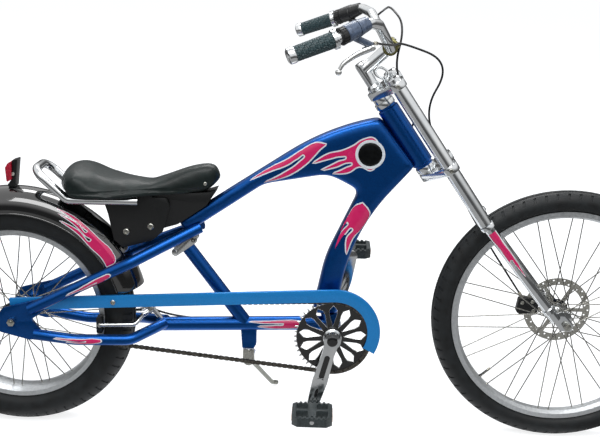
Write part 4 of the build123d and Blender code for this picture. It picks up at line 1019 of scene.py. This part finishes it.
# Brake levers: polished cast blades with a ball at the end, thickest near their pivots
# The line of a blade: offset from where the levers are clamped, and radius
blade_line = [(10, 4, -48, 6.5), (-6, 8, -53, 7.5), (-24, 14, -61, 6.8), (-40, 20, -72, 5.6),
              (-52, 24, -82, 4.6), (-56, 25.4, -92, 4.0)]
levers = []
for hand in (-1, 1):
    pivot = Vector((lever_at[0], hand * lever_at[1], lever_at[2]))
    line = [pivot + Vector((x, hand * y, z)) for x, y, z, radius in blade_line]
    levers.append(tube("blade", line, 1.0, 4, 12, [radius for *_, radius in blade_line]))
    levers.append(primitive("uv_sphere", pivot + Vector((-57.6, hand * 25.8, -96)), segments=20,
                            ring_count=12, radius=6.6))
    levers += [bolt(pivot + Vector((10, hand * 4 + 8.5 * way, -48)), (0, way, 0), 5, 3)
               for way in (-1, 1)]
levers = placed(joined(levers), "lever_blades", "fork", "bright_alloy", polished, 40)
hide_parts("brake_levers")

# Brakes: a black caliper with bright bolts and piston cap over the disc, and ahead of the rear
# wheel two polished arms that carry black pads to its rim
finished("front_caliper", nylon, 30, 0.0016)
caliper_at = Vector((1227.5, 0, 316))
parts = [bolt(caliper_at + Vector((x, y, z)), (0, way, 0), 4.6, 4) for y, way in ((33, -1), (51, 1))
         for x, z in ((-14, 10), (14, -10), (10, 13))]
parts.append(lathe(caliper_at + Vector((-2, 51, -3)), caliper_at + Vector((-2, 60, -3)),
                   [(0, 10), (4, 10), (5, 8.5), (5, 4)], 28))
placed(joined(parts), "caliper_bolts", "fork", "zinc_steel", zinc)
finished("rear_brake", polished, 30)
finished("brake_pads", nylon, 30, 0.001)
bolted("rear_brake_bolts", "frame", [((319.5, hand * 7, 298), (0, hand, 0), 6, 4) for hand in (-1, 1)]
       + [((203, hand * 52, 268), (0, hand, 0), 5, 3) for hand in (-1, 1)])

# Brake cables: black plastic over wound steel, 5 mm thick, with brass ferrules at their ends,
# apart from the rear one's at its brake.
# The front one loops ahead of the fork to the caliper; the rear one goes through the upper
# crown and back along the frame's left side, and bends where it crosses the steering.
sheath = mottled("black cable sheath", "#0B0C0D", 0.0, 0.3, 0.004, ("#08090A", "#131516"), (0.24, 0.38))
cable_r, cable_rings, cable_steps = 2.5, 2, 14
front_route = [Vector((820, -231, 963)), Vector((868, -96, 944)), on_fork(101, -30, 190),
               on_fork(175, -22, 86), on_fork(52.5, -13, 22), on_fork(52.5, -13, -137),
               on_fork(30, 46, -217), on_fork(24, 47, -324), caliper_at + Vector((-14, 45, 21))]
front_cable = placed(tube("front cable", front_route, cable_r, cable_rings, cable_steps),
                     "front_brake_cable", "fork", "cable_sheath", sheath, 60)
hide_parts("front_cable")
bend_end, bend_start = on_fork(52.5, 13, 40), on_fork(-14, 36, -20)
rear_route = [Vector((820, 231, 963)), Vector((860, 165, 1009)), Vector((868, 75, 1017)),
              on_fork(130.5, 12, 208), on_fork(52.5, 13, 136), bend_end, on_fork(34, 22, 10),
              bend_start,
              *[bracket + Vector(step) for step in ((60, 32.8, 330), (14, 32.8, 150), (-40, 30, 28),
                                                    (-110, 19.8, 9))],
              Vector((378, 19.8, 262)), Vector((324.5, 8, 290))]
rear_cable = tube("rear cable", rear_route, cable_r, cable_rings, cable_steps)
leant(rear_cable, "rear_brake_cable")
coat(rear_cable, "cable_sheath", sheath, 60)
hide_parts("bars_cable", "frame_cable")
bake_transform(rear_cable)
ends = [front_route[:2], front_route[:-3:-1], rear_route[:2]]
ferrules = [lathe(*end, [(-3, 3.2), (-2, 4), (12, 4), (14, 3.2)], 14) for end in ends]
placed(joined(ferrules), "cable_ferrules", "fork", "cable_sheath", brass)
